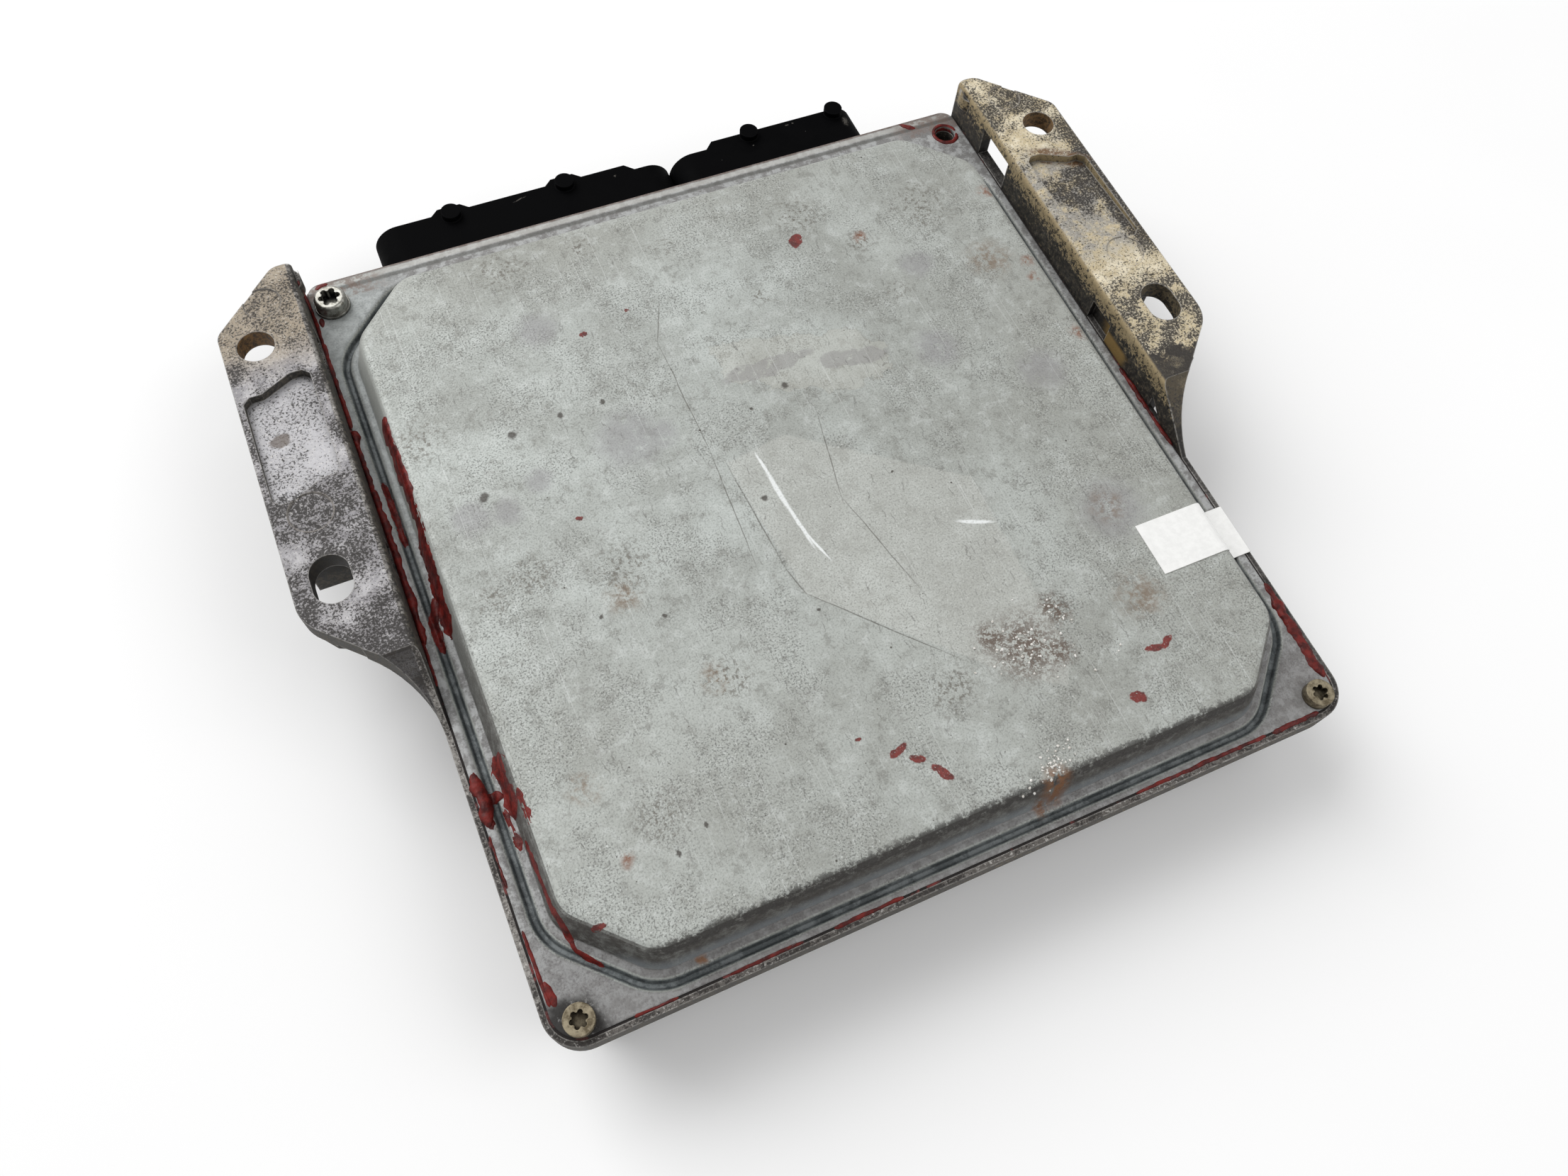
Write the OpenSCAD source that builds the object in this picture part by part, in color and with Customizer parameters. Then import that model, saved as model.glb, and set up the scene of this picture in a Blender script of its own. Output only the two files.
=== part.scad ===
// Engine control unit: die-cast case with two mounting ears, pressed sheet cover, two-bay pin header.
// It stands on its base with the cover up. X runs to the right, Y to the connector side, Z up.
// The origin is on the base, mid-way between the four cover screw places.

/* [Cover] */
// Distance between the cover screw places across the unit
screw_pitch_x = 170; // [160:1:185]
// Distance between the cover screw places along the unit
screw_pitch_y = 180; // [170:1:195]
// Thickness of the cover sheet
sheet_t = 1; // [0.8:0.1:1.2]
// From the screw line out to the cover's side edge
cover_side = 5; // [4.6:0.1:6]
// From the screw line out to the cover's front edge
cover_front = 3.2; // [3.1:0.1:4]
// From the screw line out to the cover's rear edge
cover_rear = 7.8; // [7:0.1:9]
// Radius of the cover's front corners
cover_front_r = 6; // [4:0.5:7]
// Radius of the cover's rear corners
cover_rear_r = 3.5; // [2:0.5:5]
// Height of the raised field above the cover's rim
field_h = 8.5; // [6:0.5:10]
// From the screw line in to the raised field's side edge
field_inset_x = 3.6; // [3.4:0.1:5]
// From the screw line in to the raised field's front and rear edge
field_inset_y = 4.8; // [4.7:0.1:6]
// Straight length of the raised field's corner cuts
field_flat = 13.86; // [12:0.01:18]
// Rounding of the raised field's outline at each end of a corner cut
field_r = 7; // [5:0.5:9]
// Run of the sloping wall from the field down to the ledge
wall_run = 2.4; // [1.8:0.1:2.5]
// Flat ledge between the sloping wall and the sealing bead
ledge_w = 1.7; // [1.5:0.1:1.8]
// Width of the pressed sealing bead
bead_w = 2.9; // [2.7:0.1:3]
// Depth of the pressed sealing bead
bead_d = 1.6; // [1.2:0.1:1.8]
// Middle bend radius at the raised field's top edge
field_bend_r = 1.7; // [1:0.1:2]
// Inner bend radius at the foot of the wall and in the bead
bead_inner_r = 0.3; // [0.2:0.05:0.35]
// Run of the bead's walls for each millimetre of its depth
bead_slope = 0.45; // [0.4:0.05:0.55]

/* [Case] */
// Height of the sealing land above the base
land_z = 26.7; // [25:0.1:32]
// Thickness of the sealant film between land and cover
film_t = 0.3; // [0.2:0.05:0.5]
// Gap between the cover's edge and the lip round it
lip_gap = 0.5; // [0.4:0.1:0.8]
// Thickness of the lip round the cover
lip_t = 1.2; // [1:0.1:2]
// Height of the lip above the land
lip_h = 1.1; // [0.8:0.1:1.3]
// Thickness of the rim that carries land and lip
rim_t = 6; // [5:0.5:8]
// Overhang of the rim over the side walls
rim_over = 4.5; // [3:0.1:4.8]
// Inward lean of the side walls from rim to base
wall_draft = 1.2; // [0:0.1:1.8]
// Chamfer round the base
base_chamfer = 1.5; // [0.5:0.1:2]
// Thickness of the floor, cooling channels included
floor_t = 6; // [5.5:0.1:6.5]
// Depth of the cooling channels in the base
fin_d = 2.5; // [1:0.1:3]
// Width of each cooling channel
fin_gap = 6; // [4:0.5:7]
// Spacing of the cooling channels
fin_pitch = 9; // [8.5:0.5:12]
// Plain border of the base round the cooling channels
fin_border = 14; // [12:1:25]
// Play between the cover's bead and the channel in the case
channel_play = 0.5; // [0.4:0.1:0.6]
// Width of the land between the channel and the cavity
land_w = 1.2; // [1:0.1:1.5]
// Wall of the screw bosses under the rim, round and below each thread
boss_wall = 1.6; // [1.4:0.1:2]

/* [Ears] */
// Height of the ears' top faces above the cover's rim
ear_rise = 11; // [9:0.5:13]
// Reach of each ear from the lip
ear_w = 20.5; // [19:0.5:26]
// Length of each ear along the unit
ear_l = 106.2; // [103:0.2:112]
// Front end of the ear's flat top, from the middle of the screw places
ear_front = -9.7; // [-14:0.1:-8]
// Corner cut at the ear's front end
ear_nose = 13; // [11:0.5:14]
// Thickness of the ears' top plates
ear_t = 5; // [4:0.5:6]
// Thickness of the ears' walls and gussets
ear_wall = 3; // [2:0.5:4]
// Radius of the ear's top edge beside the cover
ear_edge_r = 1.5; // [1:0.5:3]
// Diameter of the round mounting holes
hole_d = 8.4; // [6.6:0.1:9]
// Round mounting hole, in from the ear's outer edge
hole_inset = 7.6; // [7:0.1:9]
// Round mounting hole along the unit
hole_y = 75; // [72:0.5:76]
// Length of the mounting slots
slot_l = 11.6; // [9.5:0.1:13]
// Mounting slot, in from the ear's outer edge
slot_inset = 8.4; // [7.5:0.1:9]
// Mounting slot along the unit
slot_y = 10.8; // [10:0.2:12]
// Depth of the pocket in each ear's top at its rear end
pocket_d = 2.4; // [1.6:0.2:3]
// Depth of the pocket at its front end
pocket_front_d = 0.8; // [0.4:0.2:1.4]
// Middle of the pocket along the unit
pocket_y = 48.5; // [47:0.5:50]
// Length of the pocket
pocket_l = 33; // [28:0.5:34]

/* [Connector header] */
// Left side of the header's large bay
header_left = -70.5; // [-72:0.5:-66]
// Place of the wall between the two bays
header_split = 10; // [6:0.5:14]
// Right side of the header's small bay
header_right = 66; // [62:0.5:68]
// Height of the header
header_h = 18.7; // [18:0.1:20]
// Corner radius of the bays
header_r = 6.5; // [3:0.5:7]
// Wall thickness of the bays
header_wall = 1.8; // [1.5:0.1:2.2]
// Depth of the bays
bay_depth = 12.4; // [12:0.1:18]
// Diameter of the lever pegs
peg_d = 5; // [4:0.1:5.5]
// Height of the lever pegs
peg_h = 1.6; // [1.4:0.1:3]
// Distance from the bay's mouth back to the lever pegs
peg_back = 1.2; // [1:0.1:4]
// Width of the seal round the header's neck
seal_w = 3; // [2:0.5:4]
// Depth of the seal's groove in the header's neck
seal_d = 2; // [1.5:0.1:2.5]
// Gap between the header's neck and the case
neck_gap = 0.5; // [0.3:0.1:0.8]
// Thickness of a signal pin
pin_t = 0.8; // [0.6:0.1:1]
// Spacing of the signal pins in a row
pin_pitch = 3; // [2.4:0.1:3]
// Spacing of the pin rows
row_pitch = 3.4; // [3:0.1:3.6]
// Width of a power blade
blade_w = 2.8; // [2:0.1:3]
// Spacing of the power blades
blade_pitch = 6; // [5:0.1:6]
// How far pins and blades stand out into the bays
pin_out = 8; // [6:0.5:9]

/* [Circuit board] */
// Thickness of the board
board_t = 1.6; // [1.2:0.1:2]
// Gap between the board and the cavity's walls
board_gap = 1.2; // [0.8:0.1:2]
// Height of the posts under the board
post_h = 3.4; // [3:0.1:4]
// Diameter of the posts under the board
post_d = 7; // [6:0.5:9]
// Board screw places, in from the cavity's sides
post_inset_x = 14; // [13:0.5:18]
// Board screw places, in from the cavity's front and rear
post_inset_y = 17; // [16.5:0.5:20]
// Thickness of the thermal pads
pad_t = 1; // [0.5:0.1:1.5]

/* [Fasteners and label] */
// Shank diameter of the front cover screws
screw_d = 4; // [3.5:0.1:4]
// Head diameter of the front cover screws
screw_head_d = 6.2; // [6:0.1:6.4]
// Head height of the front cover screws
screw_head_h = 2.4; // [1.8:0.1:2.6]
// Shank diameter of the rear cover screws
rear_screw_d = 5; // [4.5:0.1:5]
// Head diameter of the replacement screw
rear_head_d = 8.4; // [7.5:0.1:8.6]
// Head height of the replacement screw
rear_head_h = 3.6; // [3:0.1:4]
// Length of the cover screws' shanks
screw_l = 12; // [9:0.5:14]
// Play of a shank in the cover's hole
hole_play = 0.5; // [0.3:0.1:0.6]
// Play of a shank in its threaded hole
thread_play = 0.1; // [0.05:0.05:0.2]
// Shank diameter of the board screws
board_screw_d = 3; // [2.5:0.1:3]
// Thickness of the label strip
label_t = 0.2; // [0.1:0.05:0.3]
// Width of the label strip
label_w = 13; // [10:0.5:18]
// Middle of the label strip along the unit
label_y = -47.5; // [-60:0.5:-30]
// Length of the label strip on the raised field
label_lap = 17; // [8:0.5:25]

/* [Hidden] */

$fn = 48;
// Cutting tools run this far past the faces they cut
eps = 1;
// Arc pieces in each bend of the sheet
bend_steps = 4;

// Heights
cover_z = land_z + film_t + sheet_t;
field_z = cover_z + field_h;
ear_z = cover_z + ear_rise;
rim_z = land_z - rim_t;
board_z = floor_t + post_h;
board_top = board_z + board_t;
island_h = post_h - pad_t;

// Half sizes from the middle of the screw places
screw_x = screw_pitch_x / 2;
screw_y = screw_pitch_y / 2;
field_x = screw_x - field_inset_x;
field_y = screw_y - field_inset_y;
cover_x = screw_x + cover_side;
cover_y0 = -screw_y - cover_front;
cover_y1 = screw_y + cover_rear;
rim_x = cover_x + lip_gap + lip_t;
rim_y0 = cover_y0 - lip_gap - lip_t;
rim_y1 = cover_y1 + lip_gap;

// Corner cut of the raised field's outline, before its rounding
field_cut = field_flat / sqrt(2) + field_r * (2 - sqrt(2));

// Distances outward from the raised field's edge; flat parts meet the swept edge at the seams
bead_s0 = wall_run + ledge_w;
bead_s1 = bead_s0 + bead_w;
bead_bend_r = sheet_t / 2 + bead_inner_r;
strip_s = bead_s1 + bead_bend_r * 1.1;
strip_seam_s = bead_s1 + bead_bend_r * 0.75;
field_end_s = -field_bend_r * 2;
field_seam_s = -field_bend_r * 1.5;
channel_s0 = bead_s0 - sheet_t / 2 - channel_play;
channel_s1 = bead_s1 + sheet_t / 2 + channel_play;
channel_d = bead_d - film_t + channel_play;
cavity_s = channel_s0 - land_w;
board_s = cavity_s - board_gap;

// Ear, described on the right side
ear_in = cover_x + lip_gap;
ear_out = ear_in + ear_w;
ear_rear = ear_front + ear_l;
hole_x = ear_out - hole_inset;
slot_x = ear_out - slot_inset;
ear_tail = 16;
ear_corner_r = [0, 0, 9, 4, 4, 0];
web_r = 24;
web_y = rim_x + web_r * (1 - sqrt(2)) - (ear_out - ear_nose - ear_front);
gusset_ys = [slot_y - hole_d * 1.3, hole_y - hole_d * 1.3, hole_y + hole_d * 1.8];
rib_y = slot_y + slot_l / 2 + ear_wall;
// Windows in the ear's inner wall: start, length, height and depth; the front one is blind
windows = [[slot_y + 1, hole_d, hole_d * 0.7, ear_wall / 2],
    [hole_y - 8, hole_d * 1.6, hole_d, ear_wall + eps]];
// Ejector marks: place and diameter
mark_places = [[ear_out - 11.7, hole_y + 11.8, 8.5], [slot_x, slot_y + 17.2, 9.6]];
mark_d = 0.3;

// Header
neck_y0 = field_y + cavity_s;
neck_y1 = rim_y1;
mouth_y = neck_y1 + bay_depth;
header_z0 = land_z - header_h;
bays = [[header_left, header_split], [header_split, header_right]];
large_pegs = [header_left + peg_d * 4.16, header_left + peg_d * 10.3];
small_pegs = [header_right - peg_d * 6.4, header_right - peg_d * 1.3];
// The mouth is set back on both sides of the wall between the bays
setback = 2.3;
pad_edge = 0.5;
setback_x0 = header_split - header_r * 1.5;
setback_x1 = header_split + header_r * 1.7;
key_shares = [0.3, 0.7];
key_w = 2;
large_columns = floor((header_split - header_left - 2 * header_r) / pin_pitch);
small_columns = floor((header_right - header_split - 2 * header_r) / pin_pitch);
blade_count = floor((header_right - header_split - 2 * header_r) / blade_pitch);
row_mid = header_z0 + header_h / 2;
pin_play = 0.05;
leg_step = 3;
leg_below = 1.2;
signal_rows = [for (column = [0 : large_columns - 1]) for (row = [0 : 2])
        [(header_left + header_split) / 2 + (column - (large_columns - 1) / 2) * pin_pitch, row],
    for (column = [0 : small_columns - 1]) for (row = [1 : 2])
        [(header_split + header_right) / 2 + (column - (small_columns - 1) / 2) * pin_pitch, row]];
blades = [for (i = [0 : blade_count - 1])
    (header_split + header_right) / 2 + (i - (blade_count - 1) / 2) * blade_pitch];

// Board layout, with body sizes as length, width and height
post_x = field_x + cavity_s - post_inset_x;
post_y = field_y + cavity_s - post_inset_y;
transistor_pitch = post_x / 4.3;
transistor_xs = [for (i = [-2.5 : 1 : 2.5]) i * transistor_pitch];
transistor_y = -post_y + 7;
transistor_size = [10, 9, 4.4];
driver_places = [[-30, -34], [0, -34]];
driver_size = [16, 14, 2.8];
row_pad = [transistor_pitch * 6, 12];
driver_pad = [14, 14];
pad_places = concat([[0, transistor_y, row_pad[0], row_pad[1]]],
    [for (p = driver_places) [p[0], p[1], driver_pad[0], driver_pad[1]]]);
controller_place = [-22, 26];
controller_size = [28, 28, 3.2];
memory_place = [14, 32];
memory_size = [18, 11, 2.4];
supply_place = [-58, 48];
supply_size = [12, 12, 2.6];
transceiver_places = [[40, 52], [54, 52]];
transceiver_size = [5, 4, 1.5];
sensor_place = [52, 26];
sensor_size = [9, 9, 4];
crystal_place = [14, 14];
crystal_size = [11, 4.6, 3.5];
crystal_r = 2.2;
coil_places = [[38, -30], [60, -30]];
coil_d = 19;
coil_h = 13;
coil_flange = 2;
can_places = [[-66, -18], [-66, 2], [-66, 22]];
can_d = 16;
can_h = 19;
ceramic_count = 20;
ceramic_pitch = 4.5;
ceramic_size = [1.6, 3.2, 1.2];
shunt_places = [[-12, -12], [0, -12], [12, -12]];
shunt_size = [6.4, 3.2, 0.9];
diode_places = [[28, -8], [40, -8], [52, -8], [64, -8]];
diode_size = [7, 6, 2.3];

// Unit vector, left normal and rotation in the plane
function unit(v) = v / norm(v);
function left(v) = [-v[1], v[0]];
function turned(v, a) = [v[0] * cos(a) - v[1] * sin(a), v[0] * sin(a) + v[1] * cos(a)];
function turn(a, b, c) = let (u = unit(b - a), v = unit(c - b)) atan2(u[0] * v[1] - u[1] * v[0], u * v);

// Points of the bend at b, at a distance to the left of the middle line
function bend(a, b, c, r, side) =
    let (u = unit(b - a), angle = turn(a, b, c), way = sign(angle))
    let (middle = b - u * r * tan(abs(angle) / 2) + left(u) * way * r)
    [for (i = [0 : bend_steps]) middle - turned(left(u), angle * i / bend_steps) * (way * r - side)];

// One face of a bent sheet whose middle line runs through the points p, with bend radii r
function sheet_face(p, r, side) = concat(
    [p[0] + left(unit(p[1] - p[0])) * side],
    [for (i = [1 : len(p) - 2]) each bend(p[i - 1], p[i], p[i + 1], r[i - 1], side)],
    [p[len(p) - 1] + left(unit(p[len(p) - 1] - p[len(p) - 2])) * side]);

function reversed(p) = [for (i = [len(p) - 1 : -1 : 0]) p[i]];

// Section of a bent sheet between two distances from its middle line
module sheet_section(p, r, low, high) {
    polygon(concat(sheet_face(p, r, high), reversed(sheet_face(p, r, low))));
}

// Corners of the raised field's outline moved outward by d
function field_corners(d) =
    let (x = field_x + d, y = field_y + d, c = field_cut + d * (2 - sqrt(2)))
    [[x, c - y], [x, y - c], [x - c, y], [c - x, y], [-x, y - c], [-x, c - y], [c - x, -y], [x - c, -y]];

// Centres of the outline's corner arcs
arc_centres = field_corners(-field_r);

// Carries a section round the raised field, section x pointing outward and section y up
module round_field() {
    for (i = [0 : 7]) {
        start = arc_centres[i];
        end = arc_centres[(i + 1) % 8];
        translate(end)
            rotate([90, 0, 45 * i])
                linear_extrude(norm(end - start)) translate([field_r, 0]) children();
        translate(start)
            rotate([0, 0, 45 * (i - 1)])
                rotate_extrude(angle = 45) translate([field_r, 0]) children();
    }
}

// Convex outline with its own radius at each corner, given anticlockwise
module rounded(p, r) {
    n = len(p);
    polygon([for (i = [0 : n - 1])
        let (a = p[(i + n - 1) % n], b = p[i], c = p[(i + 1) % n], reach = r[i] * tan(turn(a, b, c) / 2))
        each r[i] > 0 ? [b - unit(b - a) * reach, b + unit(c - b) * reach] : [b]]);
    for (i = [0 : n - 1])
        if (r[i] > 0)
            let (a = p[(i + n - 1) % n], b = p[i], c = p[(i + 1) % n], u = unit(b - a))
                translate(b - u * r[i] * tan(turn(a, b, c) / 2) + left(u) * r[i]) circle(r[i]);
}

module rounded_box(x0, y0, x1, y1, front_r, rear_r) {
    rounded([[x0, y0], [x1, y0], [x1, y1], [x0, y1]], [front_r, front_r, rear_r, rear_r]);
}

// Raised field's outline moved outward by d, and a slab of it
module field_outline(d) {
    corners = field_corners(d);
    rounded(corners, [for (corner = corners) field_r + d]);
}

module field_slab(d, low, high) {
    translate([0, 0, low]) linear_extrude(high - low) field_outline(d);
}

// Lays a drawing of Y and Z along X, or of X and Z along Y
module along_x(length) {
    rotate([90, 0, 90]) linear_extrude(length) children();
}

module along_y(length) {
    translate([0, length, 0]) rotate([90, 0, 0]) linear_extrude(length) children();
}

// Six-lobed driver recess
module driver_recess(d) {
    lobes = 6;
    lobe_r = d * 0.14;
    core_r = d / 2 - lobe_r;
    circle(core_r);
    for (i = [0 : lobes - 1])
        rotate(i * 360 / lobes) translate([core_r, 0]) circle(lobe_r);
}

// Cover

cover_line = [[field_end_s, field_z - sheet_t / 2], [0, field_z - sheet_t / 2],
    [wall_run, cover_z - sheet_t / 2], [bead_s0, cover_z - sheet_t / 2],
    [bead_s0 + bead_d * bead_slope, cover_z - sheet_t / 2 - bead_d],
    [bead_s1 - bead_d * bead_slope, cover_z - sheet_t / 2 - bead_d],
    [bead_s1, cover_z - sheet_t / 2], [strip_s, cover_z - sheet_t / 2]];
cover_bends = [field_bend_r, bead_bend_r, bead_bend_r, bead_bend_r, bead_bend_r, bead_bend_r];

module cover_section() {
    sheet_section(cover_line, cover_bends, -sheet_t / 2, sheet_t / 2);
}

module cover_outline() {
    rounded_box(-cover_x, cover_y0, cover_x, cover_y1, cover_front_r, cover_rear_r);
}

// Places all four cover screws, or only the front or rear pair
module at_screws(ends = [-1, 1]) {
    for (side = [-1, 1])
        for (end = ends)
            translate([side * screw_x, end * screw_y, 0]) children();
}

// Screw holes from one height to another, with this play round each shank
module screw_holes(low, high, play) {
    at_screws([-1]) translate([0, 0, low]) cylinder(d = screw_d + play, h = high - low);
    at_screws([1]) translate([0, 0, low]) cylinder(d = rear_screw_d + play, h = high - low);
}

module cover() {
    color([0.74, 0.76, 0.75]) {
        round_field() cover_section();
        field_slab(field_seam_s, field_z - sheet_t, field_z);
        difference() {
            translate([0, 0, cover_z - sheet_t]) linear_extrude(sheet_t) cover_outline();
            field_slab(strip_seam_s, cover_z - sheet_t - eps, cover_z + eps);
            screw_holes(cover_z - sheet_t - eps, cover_z + eps, hole_play);
        }
    }
}

// Cured sealant: bead in the channel, film under the rim, and what was pressed up into the edge crack

// Sealing channel cut into the land
module channel() {
    translate([0, 0, land_z - channel_d]) linear_extrude(channel_d + eps) difference() {
        field_outline(channel_s1);
        field_outline(channel_s0);
    }
}

module seat_outline() {
    rounded_box(-ear_in, cover_y0 - lip_gap, ear_in, rim_y1, cover_front_r + lip_gap, cover_rear_r + lip_gap);
}

// The seat as cut in the case: it runs out at the connector side
module seat_cut() {
    rounded_box(-ear_in, cover_y0 - lip_gap, ear_in, rim_y1 + eps, cover_front_r + lip_gap, 0);
}

module cover_sealant() {
    bed_z = land_z - channel_d;
    film_z = land_z + film_t;
    film_s = channel_s1 - channel_play;
    color([0.55, 0.13, 0.1]) {
        difference() {
            field_slab(channel_s1, bed_z, film_z);
            field_slab(channel_s0, bed_z - eps, film_z + eps);
            field_slab(film_s, film_z - bead_d, film_z + eps);
        }
        difference() {
            translate([0, 0, land_z]) linear_extrude(film_t) seat_outline();
            field_slab(film_s, land_z - eps, film_z + eps);
            screw_holes(land_z - eps, film_z + eps, hole_play);
        }
        intersection() {
            difference() {
                translate([0, 0, film_z]) linear_extrude(lip_h - film_t) seat_outline();
                translate([0, 0, land_z]) linear_extrude(lip_h + eps) cover_outline();
            }
            translate([-rim_x, rim_y0, land_z]) cube([2 * rim_x, screw_y - rim_y0, lip_h]);
        }
    }
}

// Case

module rim_outline() {
    edge = lip_gap + lip_t;
    rounded_box(-rim_x, rim_y0, rim_x, rim_y1, cover_front_r + edge, cover_rear_r + edge);
}

// Side profile of the body: leaning wall with a chamfer at the base
function body_half(top) =
    [[top - wall_draft - base_chamfer, 0], [top - wall_draft, base_chamfer], [top, rim_z]];

module body_block() {
    x = rim_x - rim_over;
    front = body_half(-rim_y0 - rim_over);
    rear = body_half(rim_y1 - rim_over);
    intersection() {
        linear_extrude(rim_z)
            rounded_box(-x, rim_y0 + rim_over, x, rim_y1 - rim_over, cover_front_r, cover_rear_r);
        translate([0, rim_y0, 0]) along_y(rim_y1 - rim_y0)
            polygon(concat(body_half(x), reversed([for (p = body_half(x)) [-p[0], p[1]]])));
        translate([-rim_x, 0, 0]) along_x(2 * rim_x)
            polygon(concat(rear, reversed([for (p = front) [-p[0], p[1]]])));
    }
    boss_z = cover_z - screw_l - boss_wall;
    for (boss = [[-1, screw_d], [1, rear_screw_d]])
        at_screws([boss[0]]) translate([0, 0, boss_z]) cylinder(d = boss[1] + 2 * boss_wall, h = rim_z - boss_z);
}

// Cooling channels along the base
module fin_channels() {
    reach_x = rim_x - rim_over - wall_draft - fin_border;
    count = floor((2 * reach_x - fin_gap) / fin_pitch);
    for (i = [0 : count])
        translate([(i - count / 2) * fin_pitch - fin_gap / 2, rim_y0 + rim_over + fin_border, -eps])
            cube([fin_gap, rim_y1 - rim_y0 - 2 * (rim_over + fin_border), fin_d + eps]);
}

// Outline of the header's neck seen from the connector side, moved outward by d
module neck_outline(d) {
    x0 = header_left - d;
    x1 = header_right + d;
    z0 = header_z0 - d;
    rounded([[x0, z0], [x1, z0], [x1, land_z], [x0, land_z]], [header_r, header_r, 0, 0]);
}

module header_slot() {
    translate([0, neck_y0 - eps, 0]) along_y(neck_y1 - neck_y0 + 2 * eps) {
        neck_outline(neck_gap);
        translate([header_left - neck_gap, land_z - eps])
            square([header_right - header_left + 2 * neck_gap, 3 * eps]);
    }
}

// Flat top of the right ear, seen from above
module ear_outline() {
    rounded([[ear_in, ear_front], [ear_out - ear_nose, ear_front], [ear_out, ear_front + ear_nose],
        [ear_out, ear_rear - ear_tail], [ear_out - ear_tail, ear_rear], [ear_in, ear_rear]], ear_corner_r);
}

// Sloping web that carries the ear's front end into the rim, hollowed by an arc from corner cut to rim
module ear_web() {
    intersection() {
        translate([0, 0, rim_z]) linear_extrude(ear_z - rim_z) difference() {
            translate([ear_in, web_y]) square([ear_w - ear_nose + ear_wall, ear_front + ear_wall - web_y]);
            translate([rim_x + web_r, web_y]) circle(web_r);
        }
        translate([ear_in, 0, 0]) along_x(ear_w) polygon([[ear_front + ear_wall, ear_z - ear_t],
            [ear_front + ear_wall, ear_z], [ear_front, ear_z], [web_y, land_z + lip_h], [web_y, rim_z]]);
    }
}

// Gussets round the mounting holes, and a deep rib right behind the slot
module ear_gussets() {
    plate_z = ear_z - ear_t;
    intersection() {
        translate([0, 0, rim_z]) linear_extrude(ear_t + plate_z - rim_z) ear_outline();
        union() {
            for (y = gusset_ys)
                translate([0, y - ear_wall / 2, 0]) along_y(ear_wall)
                    polygon([[ear_in, rim_z], [rim_x + ear_wall, rim_z], [ear_out - ear_wall, plate_z],
                        [ear_in, plate_z]]);
            translate([ear_in, rib_y, rim_z]) cube([ear_w - ear_wall, ear_wall, plate_z - rim_z]);
        }
    }
}

// Pocket in the ear's top: its ends slant from one half to the other, its floor falls to the rear
module pocket_outline() {
    corner = 1.5;
    step = 3.5;
    x0 = ear_in + step;
    x1 = ear_out - corner;
    mid = (x0 + x1) / 2;
    y0 = pocket_y - pocket_l / 2;
    y1 = pocket_y + pocket_l / 2;
    polygon([[x0, y0 + step + corner], [x0 + corner, y0 + step], [mid - step, y0 + step], [mid + step, y0],
        [x1 - corner, y0], [x1, y0 + corner], [x1, y1 - step - corner], [x1 - corner, y1 - step],
        [mid + step, y1 - step], [mid - step, y1], [x0 + corner, y1], [x0, y1 - corner]]);
}

module ear_pocket() {
    y0 = pocket_y - pocket_l / 2;
    y1 = pocket_y + pocket_l / 2;
    intersection() {
        translate([0, 0, ear_z - pocket_d]) linear_extrude(pocket_d + eps) pocket_outline();
        translate([ear_in, 0, 0]) along_x(ear_w)
            polygon([[y0, ear_z + eps], [y0, ear_z - pocket_front_d], [y1, ear_z - pocket_d],
                [y1, ear_z + eps]]);
    }
}

module mount_holes() {
    low = ear_z - ear_t - eps;
    high = ear_t + 2 * eps;
    travel = (slot_l - hole_d) / 2;
    translate([hole_x, hole_y, low]) cylinder(d = hole_d, h = high);
    for (way = [-1, 1])
        translate([slot_x, slot_y + way * travel, low]) cylinder(d = hole_d, h = high);
    translate([slot_x - hole_d / 2, slot_y - travel, low]) cube([hole_d, 2 * travel, high]);
}

module ear_windows() {
    z0 = land_z + lip_h;
    for (w = windows)
        translate([ear_in - eps, w[0], z0]) cube([eps + w[3], w[1], w[2]]);
}

module ejector_marks() {
    for (p = mark_places)
        translate([p[0], p[1], ear_z - mark_d]) cylinder(d = p[2], h = mark_d + eps);
}

module ear() {
    plate_z = ear_z - ear_t;
    difference() {
        union() {
            translate([0, 0, plate_z]) linear_extrude(ear_t) ear_outline();
            translate([0, 0, rim_z]) linear_extrude(plate_z - rim_z) intersection() {
                ear_outline();
                translate([ear_in, ear_front]) square([ear_wall, ear_l]);
            }
            ear_gussets();
            ear_web();
        }
        ear_pocket();
        mount_holes();
        ear_windows();
        ejector_marks();
        translate([ear_in, web_y, ear_z]) rotate([-90, 0, 0]) difference() {
            translate([-eps, -eps, 0]) cube([ear_edge_r + eps, ear_edge_r + eps, ear_rear - web_y + eps]);
            translate([ear_edge_r, ear_edge_r, -eps]) cylinder(r = ear_edge_r, h = ear_rear - web_y + 3 * eps);
        }
    }
}

module at_posts() {
    for (side = [-1, 1])
        for (end = [-1, 1])
            translate([side * post_x, end * post_y, 0]) children();
}

module case() {
    thread_l = screw_l - sheet_t - film_t;
    color([0.66, 0.65, 0.62]) {
        difference() {
            union() {
                body_block();
                translate([0, 0, rim_z]) linear_extrude(rim_t + lip_h) rim_outline();
                ear();
                mirror([1, 0, 0]) ear();
            }
            translate([0, 0, land_z]) linear_extrude(lip_h + eps) seat_cut();
            field_slab(cavity_s, floor_t, land_z + eps);
            channel();
            header_slot();
            fin_channels();
            screw_holes(land_z - thread_l - eps, land_z + eps, thread_play);
        }
        at_posts() translate([0, 0, floor_t]) difference() {
            cylinder(d = post_d, h = post_h);
            cylinder(d = board_screw_d + thread_play, h = post_h + eps);
        }
        for (p = pad_places)
            translate([p[0] - p[2] / 2, p[1] - p[3] / 2, floor_t]) cube([p[2], p[3], island_h]);
    }
}

// Fasteners and label

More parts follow.
